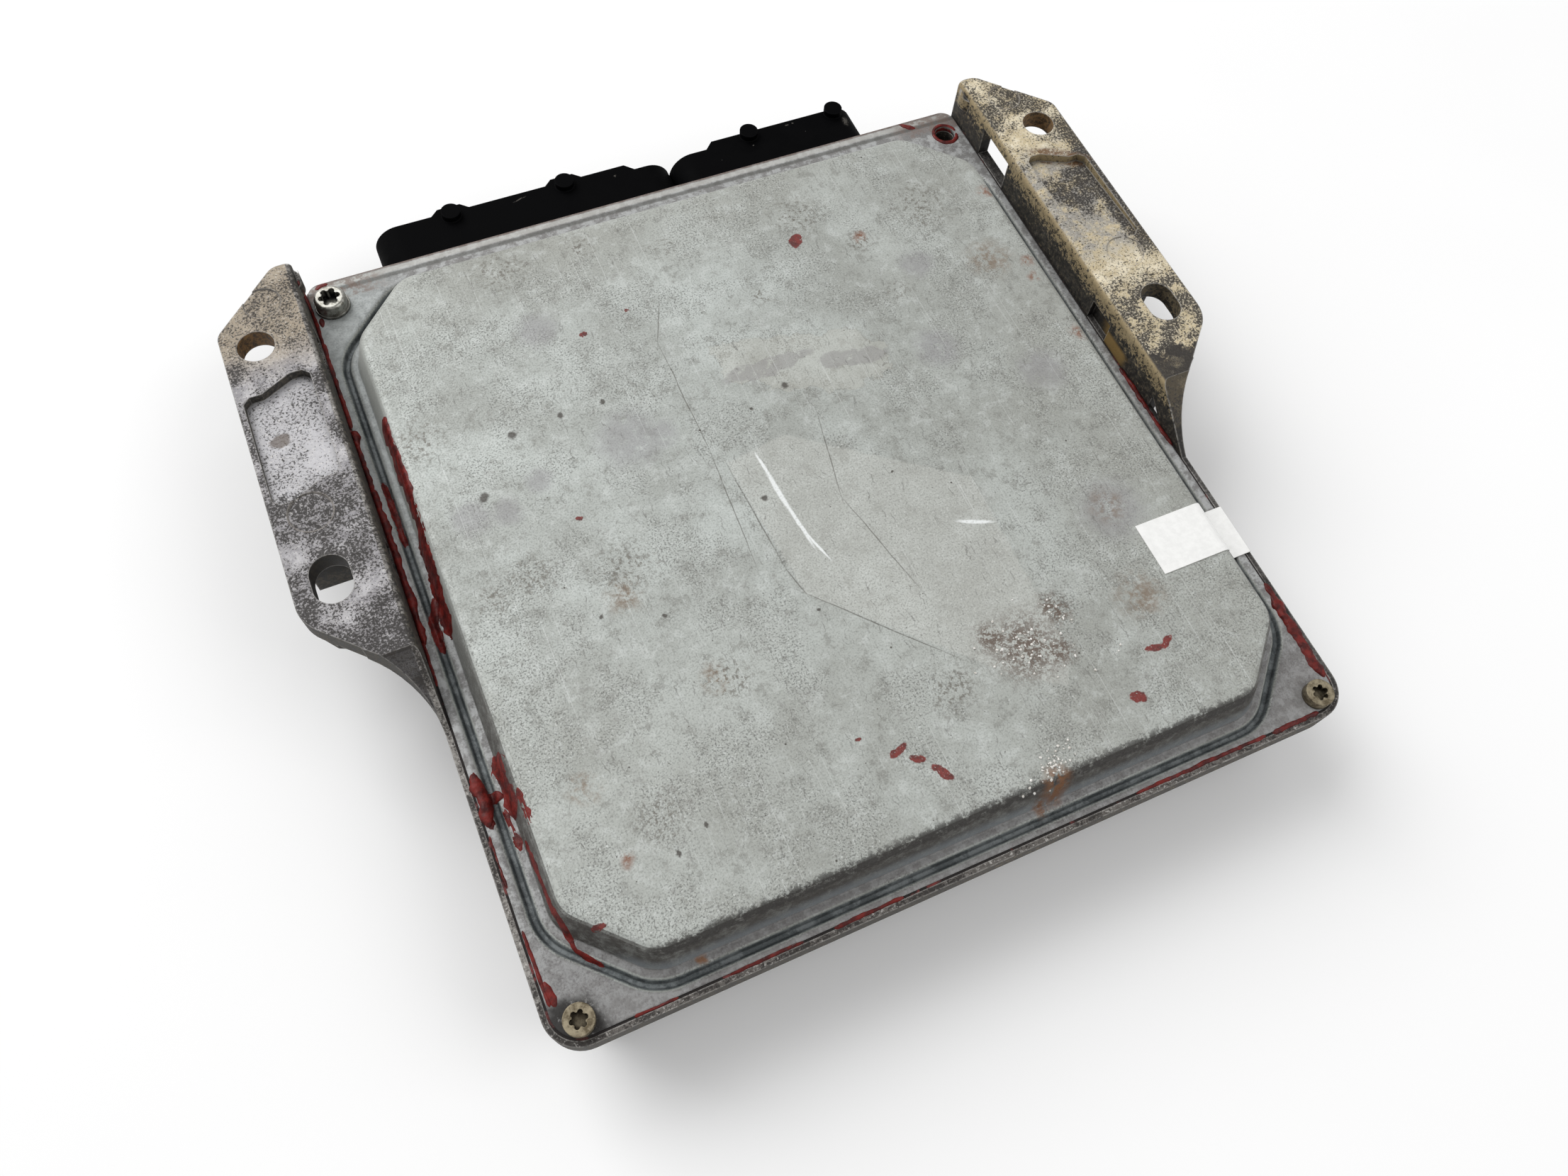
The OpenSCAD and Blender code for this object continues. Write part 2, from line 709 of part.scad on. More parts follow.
module cover_screws() {
    recess_d = screw_head_d * 0.6;
    color([0.45, 0.42, 0.36]) at_screws([-1]) {
        translate([0, 0, cover_z]) difference() {
            cylinder(d = screw_head_d, h = screw_head_h);
            translate([0, 0, screw_head_h / 3]) linear_extrude(screw_head_h) driver_recess(recess_d);
        }
        translate([0, 0, cover_z - screw_l]) cylinder(d = screw_d, h = screw_l);
    }
}

module replacement_screw() {
    seat_h = 0.8;
    recess_d = rear_head_d * 0.62;
    crown_r = rear_head_d / 2 - 0.4;
    color([0.78, 0.78, 0.76]) translate([-screw_x, screw_y, 0]) {
        translate([0, 0, cover_z]) difference() {
            union() {
                cylinder(d = rear_head_d, h = seat_h);
                rotate_extrude() rounded([[0, 0], [crown_r, 0], [crown_r, rear_head_h], [0, rear_head_h]],
                    [0, 0, seat_h, 0]);
            }
            translate([0, 0, seat_h]) linear_extrude(rear_head_h) driver_recess(recess_d);
        }
        translate([0, 0, cover_z - screw_l]) cylinder(d = rear_screw_d, h = screw_l);
    }
}

module tamper_label() {
    edge_s = rim_x - field_x;
    bridge_r = sheet_t / 2 + label_t * 3;
    line = [[-label_lap, field_z - sheet_t / 2], [0, field_z - sheet_t / 2], [wall_run, cover_z - sheet_t / 2],
        [edge_s, cover_z - sheet_t / 2]];
    color([0.92, 0.92, 0.9]) translate([field_x, label_y - label_w / 2, 0])
        along_y(label_w) sheet_section(line, [field_bend_r, bridge_r], sheet_t / 2, sheet_t / 2 + label_t);
}

// Connector header

// Outline of one bay, moved inward by d
module bay_outline(bay, d) {
    rounded_box(bay[0] + d, header_z0 + d, bay[1] - d, land_z - d, header_r - d, header_r - d);
}

// Openings for all pins and blades, seen from the connector side, with play round each
module pin_openings(play) {
    for (pin = signal_rows)
        translate([pin[0] - pin_t / 2 - play, row_mid + (pin[1] - 1) * row_pitch - pin_t / 2 - play])
            square(pin_t + 2 * play);
    for (x = blades)
        translate([x - blade_w / 2 - play, row_mid - row_pitch - pin_t / 2 - play])
            square([blade_w + 2 * play, pin_t + 2 * play]);
}

module lever_peg() {
    translate([0, mouth_y - peg_back, land_z - header_wall]) cylinder(d = peg_d, h = peg_h + header_wall);
}

// Pad that carries a peg of the large bay out over the mouth's edge
module peg_pad() {
    reach = peg_d / 2 - peg_back + pad_edge;
    translate([0, mouth_y, land_z - header_wall]) linear_extrude(header_wall)
        polygon([[-peg_d, 0], [-peg_d, -header_wall], [peg_d, -header_wall], [peg_d, 0], [peg_d * 0.6, reach],
            [-peg_d * 0.6, reach]]);
}

// Set-back part of the mouth, seen from above
module mouth_setback() {
    y0 = mouth_y - setback;
    y1 = mouth_y + eps;
    translate([0, 0, header_z0 - eps]) linear_extrude(header_h + 2 * eps)
        polygon([[setback_x0 - setback, y1], [setback_x0 - setback, mouth_y], [setback_x0, y0],
            [setback_x1, y0], [setback_x1 + setback, mouth_y], [setback_x1 + setback, y1]]);
}

module connector_header() {
    neck_l = neck_y1 - neck_y0;
    color([0.1, 0.1, 0.1]) difference() {
        union() {
            translate([0, neck_y0, 0]) along_y(neck_l) neck_outline(0);
            for (bay = bays)
                translate([0, neck_y1, 0]) along_y(bay_depth) difference() {
                    bay_outline(bay, 0);
                    bay_outline(bay, header_wall);
                }
            for (x = concat(large_pegs, small_pegs))
                translate([x, 0, 0]) lever_peg();
            for (x = large_pegs)
                translate([x, 0, 0]) peg_pad();
            for (bay = bays)
                for (share = key_shares)
                    translate([bay[0] + (bay[1] - bay[0]) * share, neck_y1, header_z0 + header_wall / 2])
                        translate([-key_w / 2, 0, 0]) cube([key_w, bay_depth - key_w, header_wall]);
        }
        translate([0, neck_y0 + (neck_l - seal_w) / 2, 0]) along_y(seal_w) difference() {
            translate([header_left - eps, header_z0 - eps])
                square([header_right - header_left + 2 * eps, header_h + 2 * eps]);
            neck_outline(-seal_d);
        }
        translate([0, neck_y0 - eps, 0]) along_y(neck_l + 2 * eps) pin_openings(pin_play);
        channel();
        mouth_setback();
    }
}

module header_seal() {
    color([0.2, 0.2, 0.22]) difference() {
        translate([0, (neck_y0 + neck_y1 - seal_w) / 2, 0]) along_y(seal_w) difference() {
            neck_outline(neck_gap);
            neck_outline(-seal_d);
        }
        channel();
    }
}

// Bent pin drawn in Y and Z: straight through the neck, then down through the board
module bent_pin(row) {
    z = row_mid + (row - 1) * row_pitch;
    tip = neck_y1 + pin_out;
    leg = neck_y0 - leg_step * (row + 1);
    foot = board_z - leg_below;
    half = pin_t / 2;
    polygon([[tip, z - half], [tip, z + half], [leg - half, z + half], [leg - half, foot], [leg + half, foot],
        [leg + half, z - half]]);
}

module signal_pins() {
    color([0.83, 0.72, 0.42])
        for (pin = signal_rows)
            translate([pin[0] - pin_t / 2, 0, 0]) along_x(pin_t) bent_pin(pin[1]);
}

module power_pins() {
    color([0.8, 0.78, 0.72])
        for (x = blades)
            translate([x - blade_w / 2, 0, 0]) along_x(blade_w) bent_pin(0);
}

// Circuit board and what it carries

module circuit_board() {
    color([0.1, 0.35, 0.2]) difference() {
        field_slab(board_s, board_z, board_top);
        at_posts() translate([0, 0, board_z - eps])
            cylinder(d = board_screw_d + hole_play, h = board_t + 2 * eps);
        translate([0, 0, board_z - eps]) linear_extrude(board_t + 2 * eps) {
            for (pin = signal_rows)
                translate([pin[0], neck_y0 - leg_step * (pin[1] + 1)])
                    square(pin_t + 2 * pin_play, center = true);
            for (x = blades)
                translate([x, neck_y0 - leg_step])
                    square([blade_w + 2 * pin_play, pin_t + 2 * pin_play], center = true);
        }
    }
}

module board_screws() {
    head_d = board_screw_d * 1.9;
    head_h = board_screw_d * 0.7;
    color([0.7, 0.7, 0.7]) at_posts() {
        translate([0, 0, board_top]) difference() {
            cylinder(d = head_d, h = head_h);
            translate([0, 0, head_h / 2]) linear_extrude(head_h) driver_recess(head_d * 0.55);
        }
        translate([0, 0, floor_t]) cylinder(d = board_screw_d, h = post_h + board_t);
    }
}

module thermal_pads() {
    color([0.5, 0.6, 0.65])
        for (p = pad_places)
            translate([p[0] - p[2] / 2, p[1] - p[3] / 2, floor_t + island_h]) cube([p[2], p[3], pad_t]);
}

// Chip on the board: body size, and leads along two sides or all four
module chip(size, pitch, four_sided = false) {
    length = size[0];
    width = size[1];
    height = size[2];
    lead_w = pitch * 0.4;
    lead_t = 0.25;
    lead_out = 1.2;
    standoff = 0.15;
    translate([-length / 2, -width / 2, standoff]) cube([length, width, height]);
    for (turn_z = four_sided ? [0, 90, 180, 270] : [0, 180]) {
        across = turn_z % 180 == 0 ? width : length;
        row = turn_z % 180 == 0 ? length : width;
        count = floor((row - pitch) / pitch);
        rotate([0, 0, turn_z])
            for (i = [0 : count])
                translate([(i - count / 2) * pitch - lead_w / 2, across / 2, 0]) along_x(lead_w)
                    polygon([[0, height / 2], [0, height / 2 + lead_t], [lead_out / 2, height / 2 + lead_t],
                        [lead_out / 2, lead_t], [lead_out, lead_t], [lead_out, 0], [lead_out / 2 - lead_t, 0],
                        [lead_out / 2 - lead_t, height / 2]]);
    }
}

module on_board(place) {
    translate([place[0], place[1], board_top]) children();
}

// Plain body standing on the board
module block(size) {
    translate([-size[0] / 2, -size[1] / 2, 0]) cube(size);
}

module microcontroller() {
    color([0.12, 0.12, 0.13]) on_board(controller_place) chip(controller_size, 1.6, true);
}

module flash_memory() {
    color([0.13, 0.13, 0.13]) on_board(memory_place) chip(memory_size, 1.5);
}

module crystal() {
    x = crystal_size[0] / 2;
    y = crystal_size[1] / 2;
    color([0.75, 0.75, 0.76]) on_board(crystal_place)
        linear_extrude(crystal_size[2]) rounded_box(-x, -y, x, y, crystal_r, crystal_r);
}

module power_supply_chip() {
    color([0.13, 0.13, 0.13]) on_board(supply_place) chip(supply_size, 1.6, true);
}

module injector_drivers() {
    color([0.13, 0.13, 0.13])
        for (p = driver_places)
            on_board(p) chip(driver_size, 1.6, true);
}

module power_transistors() {
    tab = [transistor_size[0], 1.6, 1.3];
    lead = [0.8, 3, 0.5];
    lead_x = 2.5;
    color([0.15, 0.15, 0.15])
        for (x = transistor_xs)
            on_board([x, transistor_y]) {
                block(transistor_size);
                translate([0, -(transistor_size[1] + tab[1]) / 2, 0]) block(tab);
                for (side = [-1, 1])
                    translate([side * lead_x, (transistor_size[1] + lead[1]) / 2, 0]) block(lead);
            }
}

module boost_coil_cores() {
    core_r = coil_d / 4;
    rim_r = coil_d / 2;
    color([0.25, 0.24, 0.23])
        for (p = coil_places)
            on_board(p) rotate_extrude() polygon([[0, 0], [rim_r, 0], [rim_r, coil_flange],
                [core_r, coil_flange], [core_r, coil_h - coil_flange], [rim_r, coil_h - coil_flange],
                [rim_r, coil_h], [0, coil_h]]);
}

module boost_coil_windings() {
    inset = 1;
    color([0.72, 0.4, 0.2])
        for (p = coil_places)
            on_board(p) rotate_extrude() translate([coil_d / 4, coil_flange])
                square([coil_d / 4 - inset, coil_h - 2 * coil_flange]);
}

module electrolytic_capacitors() {
    r = can_d / 2;
    crimp = 0.7;
    crimp_z = 2.8;
    color([0.2, 0.22, 0.3])
        for (p = can_places)
            on_board(p) rotate_extrude() polygon([[0, 0], [r, 0], [r, crimp_z - crimp], [r - crimp, crimp_z],
                [r, crimp_z + crimp], [r, can_h - crimp], [r - crimp, can_h], [0, can_h]]);
}

module ceramic_capacitors() {
    y = neck_y0 - leg_step * 5;
    color([0.7, 0.6, 0.45])
        for (i = [0 : ceramic_count - 1])
            on_board([(i - (ceramic_count - 1) / 2) * ceramic_pitch, y]) block(ceramic_size);
}

module shunt_resistors() {
    color([0.16, 0.16, 0.16])
        for (p = shunt_places)
            on_board(p) block(shunt_size);
}

module bus_transceivers() {
    color([0.13, 0.13, 0.13])
        for (p = transceiver_places)
            on_board(p) chip(transceiver_size, 1.2);
}

module diodes() {
    lead = [1, 3, 0.5];
    color([0.14, 0.14, 0.14])
        for (p = diode_places)
            on_board(p) {
                block(diode_size);
                for (side = [-1, 1])
                    translate([side * (diode_size[0] + lead[0]) / 2, 0, 0]) block(lead);
            }
}

// Sensor with a port through its cap
module pressure_sensor() {
    port_d = 2;
    port_z = 3;
    cap_d = 5;
    cap_h = 7;
    color([0.2, 0.2, 0.2]) on_board(sensor_place) difference() {
        union() {
            chip(sensor_size, 2.2);
            cylinder(d = cap_d, h = cap_h);
        }
        translate([0, 0, port_z]) cylinder(d = port_d, h = cap_h);
    }
}

case();
cover();
cover_sealant();
cover_screws();
replacement_screw();
tamper_label();
connector_header();
header_seal();
signal_pins();
power_pins();
circuit_board();
board_screws();
thermal_pads();
microcontroller();
flash_memory();
crystal();
power_supply_chip();
injector_drivers();
power_transistors();
boost_coil_cores();
boost_coil_windings();
electrolytic_capacitors();
ceramic_capacitors();
shunt_resistors();
bus_transceivers();
diodes();
pressure_sensor();
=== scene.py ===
"""Looks of the engine control unit: a finish for every node, smeared sealant, grit, studio and camera.

Places and sizes are millimetres in the part's frame unless a name says otherwise.
"""

import math
import random

import bmesh
import bpy
from mathutils import Euler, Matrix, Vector, noise
from mathutils.bvhtree import BVHTree


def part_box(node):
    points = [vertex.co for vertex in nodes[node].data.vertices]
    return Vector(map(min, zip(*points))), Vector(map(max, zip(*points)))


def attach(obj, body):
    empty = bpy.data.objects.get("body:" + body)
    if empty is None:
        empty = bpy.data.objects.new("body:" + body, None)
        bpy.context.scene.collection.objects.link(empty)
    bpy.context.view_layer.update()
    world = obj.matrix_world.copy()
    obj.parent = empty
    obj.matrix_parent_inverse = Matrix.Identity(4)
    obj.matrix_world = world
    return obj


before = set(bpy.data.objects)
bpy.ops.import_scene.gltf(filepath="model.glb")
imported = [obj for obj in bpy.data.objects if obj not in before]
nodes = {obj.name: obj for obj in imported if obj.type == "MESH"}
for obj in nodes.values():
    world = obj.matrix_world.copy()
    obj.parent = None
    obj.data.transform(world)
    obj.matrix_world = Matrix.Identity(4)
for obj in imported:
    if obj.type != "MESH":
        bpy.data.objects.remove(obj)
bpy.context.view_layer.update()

MM = 0.001
# Marks on flat faces ignore height: their reach along Z
ANY_HEIGHT = 1e4

cover_low, cover_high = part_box("cover")
label_low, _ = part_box("tamper_label")
_, case_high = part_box("case")
# The paper strip ends on the cover's rim, and the ears' faces are the case's highest places
RIM_Z = label_low.z / MM
EAR_Z = case_high.z / MM
COVER_X = cover_high.x / MM
COVER_FRONT = cover_low.y / MM
# Half length of the raised field
FIELD_Y = 85.2
# Cover screw places
SCREW_X = 85
SCREW_Y = 90


def paint(red, green, blue):
    """Linear colour of an sRGB colour given as 0 to 255."""
    def linear(value):
        share = value / 255
        return share / 12.92 if share <= 0.04045 else ((share + 0.055) / 1.055) ** 2.4
    return linear(red), linear(green), linear(blue), 1.0


def stroke(x0, y0, x1, y1, half_width):
    """Mark that runs from one place to another: middle, half length, half width, turn."""
    length = math.hypot(x1 - x0, y1 - y0)
    turn = math.degrees(math.atan2(y1 - y0, x1 - x0))
    return (x0 + x1) / 2, (y0 + y1) / 2, length / 2 + half_width, half_width, turn


def strokes(half_width, *points):
    """Marks along a bent line."""
    return [stroke(*a, *b, half_width) for a, b in zip(points, points[1:])]


class Finish:
    """Builds one procedural material. Each call adds nodes and returns an output socket."""

    def __init__(self, name, **surface):
        self.material = bpy.data.materials.new(name)
        self.material.use_nodes = True
        self.tree = self.material.node_tree
        self.shader = self.tree.nodes["Principled BSDF"]
        for key, value in surface.items():
            self.feed(self.shader.inputs[key.replace("_", " ")], value)
        self.place = self.vector("SCALE", self.node("ShaderNodeTexCoord", "Object"), Scale=1 / MM)
        self.geometry = self.tree.nodes.new("ShaderNodeNewGeometry")

    def feed(self, socket, value):
        if isinstance(value, bpy.types.NodeSocket):
            self.tree.links.new(value, socket)
        else:
            socket.default_value = value

    def node(self, kind, out=0, settings=None, inputs=None):
        made = self.tree.nodes.new(kind)
        for key, value in (settings or {}).items():
            setattr(made, key, value)
        for key, value in (inputs or {}).items():
            self.feed(made.inputs[key], value)
        return made.outputs[out]

    def math(self, operation, *values):
        inputs = dict(enumerate(values))
        return self.node("ShaderNodeMath", settings={"operation": operation}, inputs=inputs)

    def vector(self, operation, *values, **named):
        out = "Value" if operation in ("LENGTH", "DISTANCE", "DOT_PRODUCT") else "Vector"
        inputs = dict(enumerate(values)) | named
        return self.node("ShaderNodeVectorMath", out, {"operation": operation}, inputs)

    def axis(self, name, vector=None):
        return self.node("ShaderNodeSeparateXYZ", name, inputs={0: vector or self.place})

    def part(self, colour, name):
        return self.node("ShaderNodeSeparateColor", name, inputs={0: colour})

    def step(self, value, low, high, bottom=0.0, top=1.0):
        """Smooth step from bottom at low to top at high."""
        settings = {"interpolation_type": "SMOOTHSTEP", "clamp": False}
        inputs = {0: value, 1: low, 2: high, 3: bottom, 4: top}
        return self.node("ShaderNodeMapRange", settings=settings, inputs=inputs)

    def both(self, *shares):
        """Product of masks, or a mask times a strength."""
        product = shares[0]
        for share in shares[1:]:
            product = self.math("MULTIPLY", product, share)
        return product

    def either(self, *shares):
        largest = shares[0]
        for share in shares[1:]:
            largest = self.math("MAXIMUM", largest, share)
        return largest

    def inverse(self, a):
        return self.math("SUBTRACT", 1.0, a)

    def mix(self, share, a, b):
        return self.node("ShaderNodeMix", 2, {"data_type": "RGBA"}, {0: share, 6: a, 7: b})

    def noise(self, size, detail=4, roughness=0.55, at=None, stretch=None, out="Fac"):
        """Cloudy noise whose features are about this many millimetres across."""
        at = at or self.place
        if stretch:
            at = self.node("ShaderNodeMapping", inputs={"Vector": at, "Scale": [1 / s for s in stretch]})
        return self.node("ShaderNodeTexNoise", out,
                         inputs={"Vector": at, "Scale": 1 / size, "Detail": detail, "Roughness": roughness})

    def cells(self, size, out="Distance", feature="F1"):
        return self.node("ShaderNodeTexVoronoi", out, {"feature": feature},
                         {"Vector": self.place, "Scale": 1 / size})

    def ragged(self, size, reach):
        """Places pushed about by noise, which makes the outline of a mark ragged."""
        tint = self.noise(size, 5, 0.6, out="Color")
        inputs = {"X": self.part(tint, "Red"), "Y": self.part(tint, "Green")}
        push = self.node("ShaderNodeCombineXYZ", inputs=inputs)
        push = self.vector("SUBTRACT", push, (0.5, 0.5, 0))
        return self.vector("ADD", self.place, self.vector("SCALE", push, Scale=reach))

    def mark(self, at, x, y, length, width, angle=0.0, soft=0.4):
        """One oval mark: its middle, half length and half width, and turn in degrees."""
        local = self.node("ShaderNodeMapping", settings={"vector_type": "TEXTURE"},
                          inputs={"Vector": at, "Location": (x, y, 0),
                                  "Rotation": (0, 0, math.radians(angle)),
                                  "Scale": (length, width, ANY_HEIGHT)})
        return self.step(self.vector("LENGTH", local), 1 + soft, 1 - soft)

    def ring(self, x, y, radius, width=0.35):
        """Thin round line."""
        reach = self.vector("DISTANCE", self.vector("MULTIPLY", self.place, (1, 1, 0)), (x, y, 0))
        return self.step(self.math("ABSOLUTE", self.math("SUBTRACT", reach, radius)), width, 0)

    def spots(self, at, places, soft=0.4):
        """Round marks given by middle and radius."""
        flat = self.vector("MULTIPLY", at, (1, 1, 0))
        made = []
        for x, y, radius in places:
            reach = self.vector("DISTANCE", flat, (x, y, 0))
            made.append(self.step(reach, radius * (1 + soft), radius * (1 - soft)))
        return self.either(*made)

    def marks(self, at, places, soft=0.4):
        return self.either(*[self.mark(at, *place, soft=soft) for place in places])

    def inside(self, at, corners, soft=0.3):
        """Mask of a convex area given by its corners, anticlockwise."""
        sides = []
        for (x0, y0), (x1, y1) in zip(corners, corners[1:] + corners[:1]):
            length = math.hypot(x1 - x0, y1 - y0)
            inward = ((y0 - y1) / length, (x1 - x0) / length, 0)
            depth = self.math("SUBTRACT", self.vector("DOT_PRODUCT", at, inward),
                              x0 * inward[0] + y0 * inward[1])
            sides.append(self.step(depth, -soft, soft))
        return self.both(*sides)

    def specks(self, size, radius, share):
        """Dots about radius across, in this share of cells of that size."""
        dot = self.step(self.cells(size), radius / size, 0.6 * radius / size)
        pick = self.step(self.part(self.cells(size, "Color"), "Red"), share, share - 0.02)
        return self.both(dot, pick)

    def rounding(self, radius):
        return self.node("ShaderNodeBevel", settings={"samples": 6}, inputs={"Radius": radius * MM})

    def edges(self, rounding):
        """Mask of what lies near a sharp edge."""
        turn = self.vector("DOT_PRODUCT", rounding, self.geometry.outputs["Normal"])
        return self.step(turn, 0.995, 0.9)

    def crevices(self, reach):
        """Mask of what lies deep in corners and grooves."""
        open_share = self.node("ShaderNodeAmbientOcclusion", "AO", {"samples": 8}, {"Distance": reach * MM})
        return self.inverse(open_share)

    def facing(self, name):
        return self.axis(name, self.geometry.outputs["Normal"])

    def finish(self, colour, roughness, height=None, rounding=None):
        """Joins colour, roughness and relief (in millimetres) to the shader."""
        self.feed(self.shader.inputs["Base Color"], colour)
        self.feed(self.shader.inputs["Roughness"], roughness)
        normal = rounding
        if height is not None:
            inputs = {"Strength": 1.0, "Distance": MM, "Height": height}
            if rounding:
                inputs["Normal"] = rounding
            normal = self.node("ShaderNodeBump", inputs=inputs)
        if normal is not None:
            self.feed(self.shader.inputs["Normal"], normal)
        return self.material


# Spots on the cover: x, y, radius
GREY_STAINS = [(-33, 22.5, 7), (-26, 21, 3.6), (-42.5, 58.8, 4.6), (-71.6, 15.4, 4), (-64, 14.3, 3.2),
               (-55, 19.4, 2.8), (62, -35, 7), (45, 20, 5), (66, 5, 5.5), (52, 45, 4)]
MOTTLED_SPOTS = [(-24.6, 79.1, 3), (-6.3, 72.2, 2.8), (41.5, 56.6, 3.4), (43.9, 39, 2.6), (11.7, 49.4, 2.4),
                 (-45.3, 79, 6), (-64, -2.5, 4.6), (-44.8, -8, 6), (-73.4, -5, 3.4), (-76, 39, 5),
                 (-34, -40, 4.6), (-58, -62, 4.6), (8, -60, 5), (30, 70, 6), (62, 62, 7)]
BROWN_STAINS = [(56.6, -56.3, 4.6), (61.1, -33.7, 3.4), (-36.9, -39, 2.6), (-69.9, -50.9, 2.8),
                (70, 40, 4.6), (-47.7, -14.5, 3.2)]
CORROSION = [(26.8, -57.4, 7), (21, -53, 3.4), (33, -61, 3.4), (37, -52, 3.4)]
RUST_SPOTS = [(80, 60.3, 1.6), (79, 35.8, 1.4), (77.9, 30.9, 1.1), (80, 11.5, 1.6), (42.3, 57.7, 1.4),
              (-66.6, -67.2, 1.3)]
EDGE_RUST = [(19, -86, 2.6), (15.4, -88.6, 1.4), (-60, -89, 0.9)]
DARK_SPECKS = [(-56.9, 32.7, 1), (-67.6, 19.5, 1.1), (-10.4, -3.4, 0.75), (-41.2, -21.9, 0.5),
               (-50.1, -66.8, 0.5), (-57.1, -70, 0.55), (6, 23.1, 0.8), (-3.6, 19.7, 0.45),
               (-45.2, 33.8, 0.7), (-35, 33.9, 0.6), (-53.8, -17.2, 0.45), (-10.6, -32.9, 0.45),
               (19.4, -7.7, 0.4)]
# Longer marks on the cover: x, y, half length, half width, turn
RED_BLOTS = [(26.6, 62.5, 2.2, 1.6, 50), (-32.7, 53.5, 1, 0.6, 0),
             *strokes(0.8, (51.5, -68), (54.7, -68.7), (57, -67.2)),
             (43.6, -76.6, 1.9, 1.3, -20), (-8.5, -67.7, 2.2, 0.9, 20), (-5.7, -70.7, 1.6, 0.8, -30),
             (-2.3, -75.2, 2.4, 1, -60), (-15.2, -62.5, 0.8, 0.5, 0), (-75.8, -76.9, 1.5, 0.45, 0),
             (-50, 7, 0.7, 0.5, 0), (-20.6, 57, 0.5, 0.4, 0)]
DARK_LINES = (strokes(0.13, (-12.5, 56.2), (-17.2, 45), (-17, 13.4), (-18.6, -17.1))
              + strokes(0.16, (-14.8, 8.1), (-12.9, -21.2), (-11.4, -28.3), (12, -54))
              + strokes(0.13, (10, 13.3), (5.8, -9.5), (12.1, -36.9)))
WHITE_GOUGES = [stroke(-7.6, 7.7, -7, 1, 0.35), stroke(-7.2, 3, -6.3, -9, 0.55),
                stroke(-6.5, -6, -5.2, -18, 0.45), stroke(-5.6, -14, -3.2, -22.4, 0.28),
                stroke(27.9, -25, 34.3, -27.6, 0.5)]
# Film left by a torn label, the thin upper part of it and the bare patches in that part
FILM = [(-14.8, 8), (-11.5, -28.6), (20.4, -61.2), (31, -68.9), (35.1, -61.8), (35.8, -15.7), (0.4, 10.5)]
TORN_FILM = [(-7, 31), (-1, 26), (20, 16), (31, 18), (34.4, 24.6), (28.5, 32), (-6.3, 40)]
TORN_BARE = [stroke(-5, 29.4, 14, 29.6, 2.4), stroke(19, 25.5, 31, 24, 2.6)]
# Oil round the front left screw
COVER_OIL = [(-SCREW_X - 1.5, -SCREW_Y - 1.5, 6.4)]


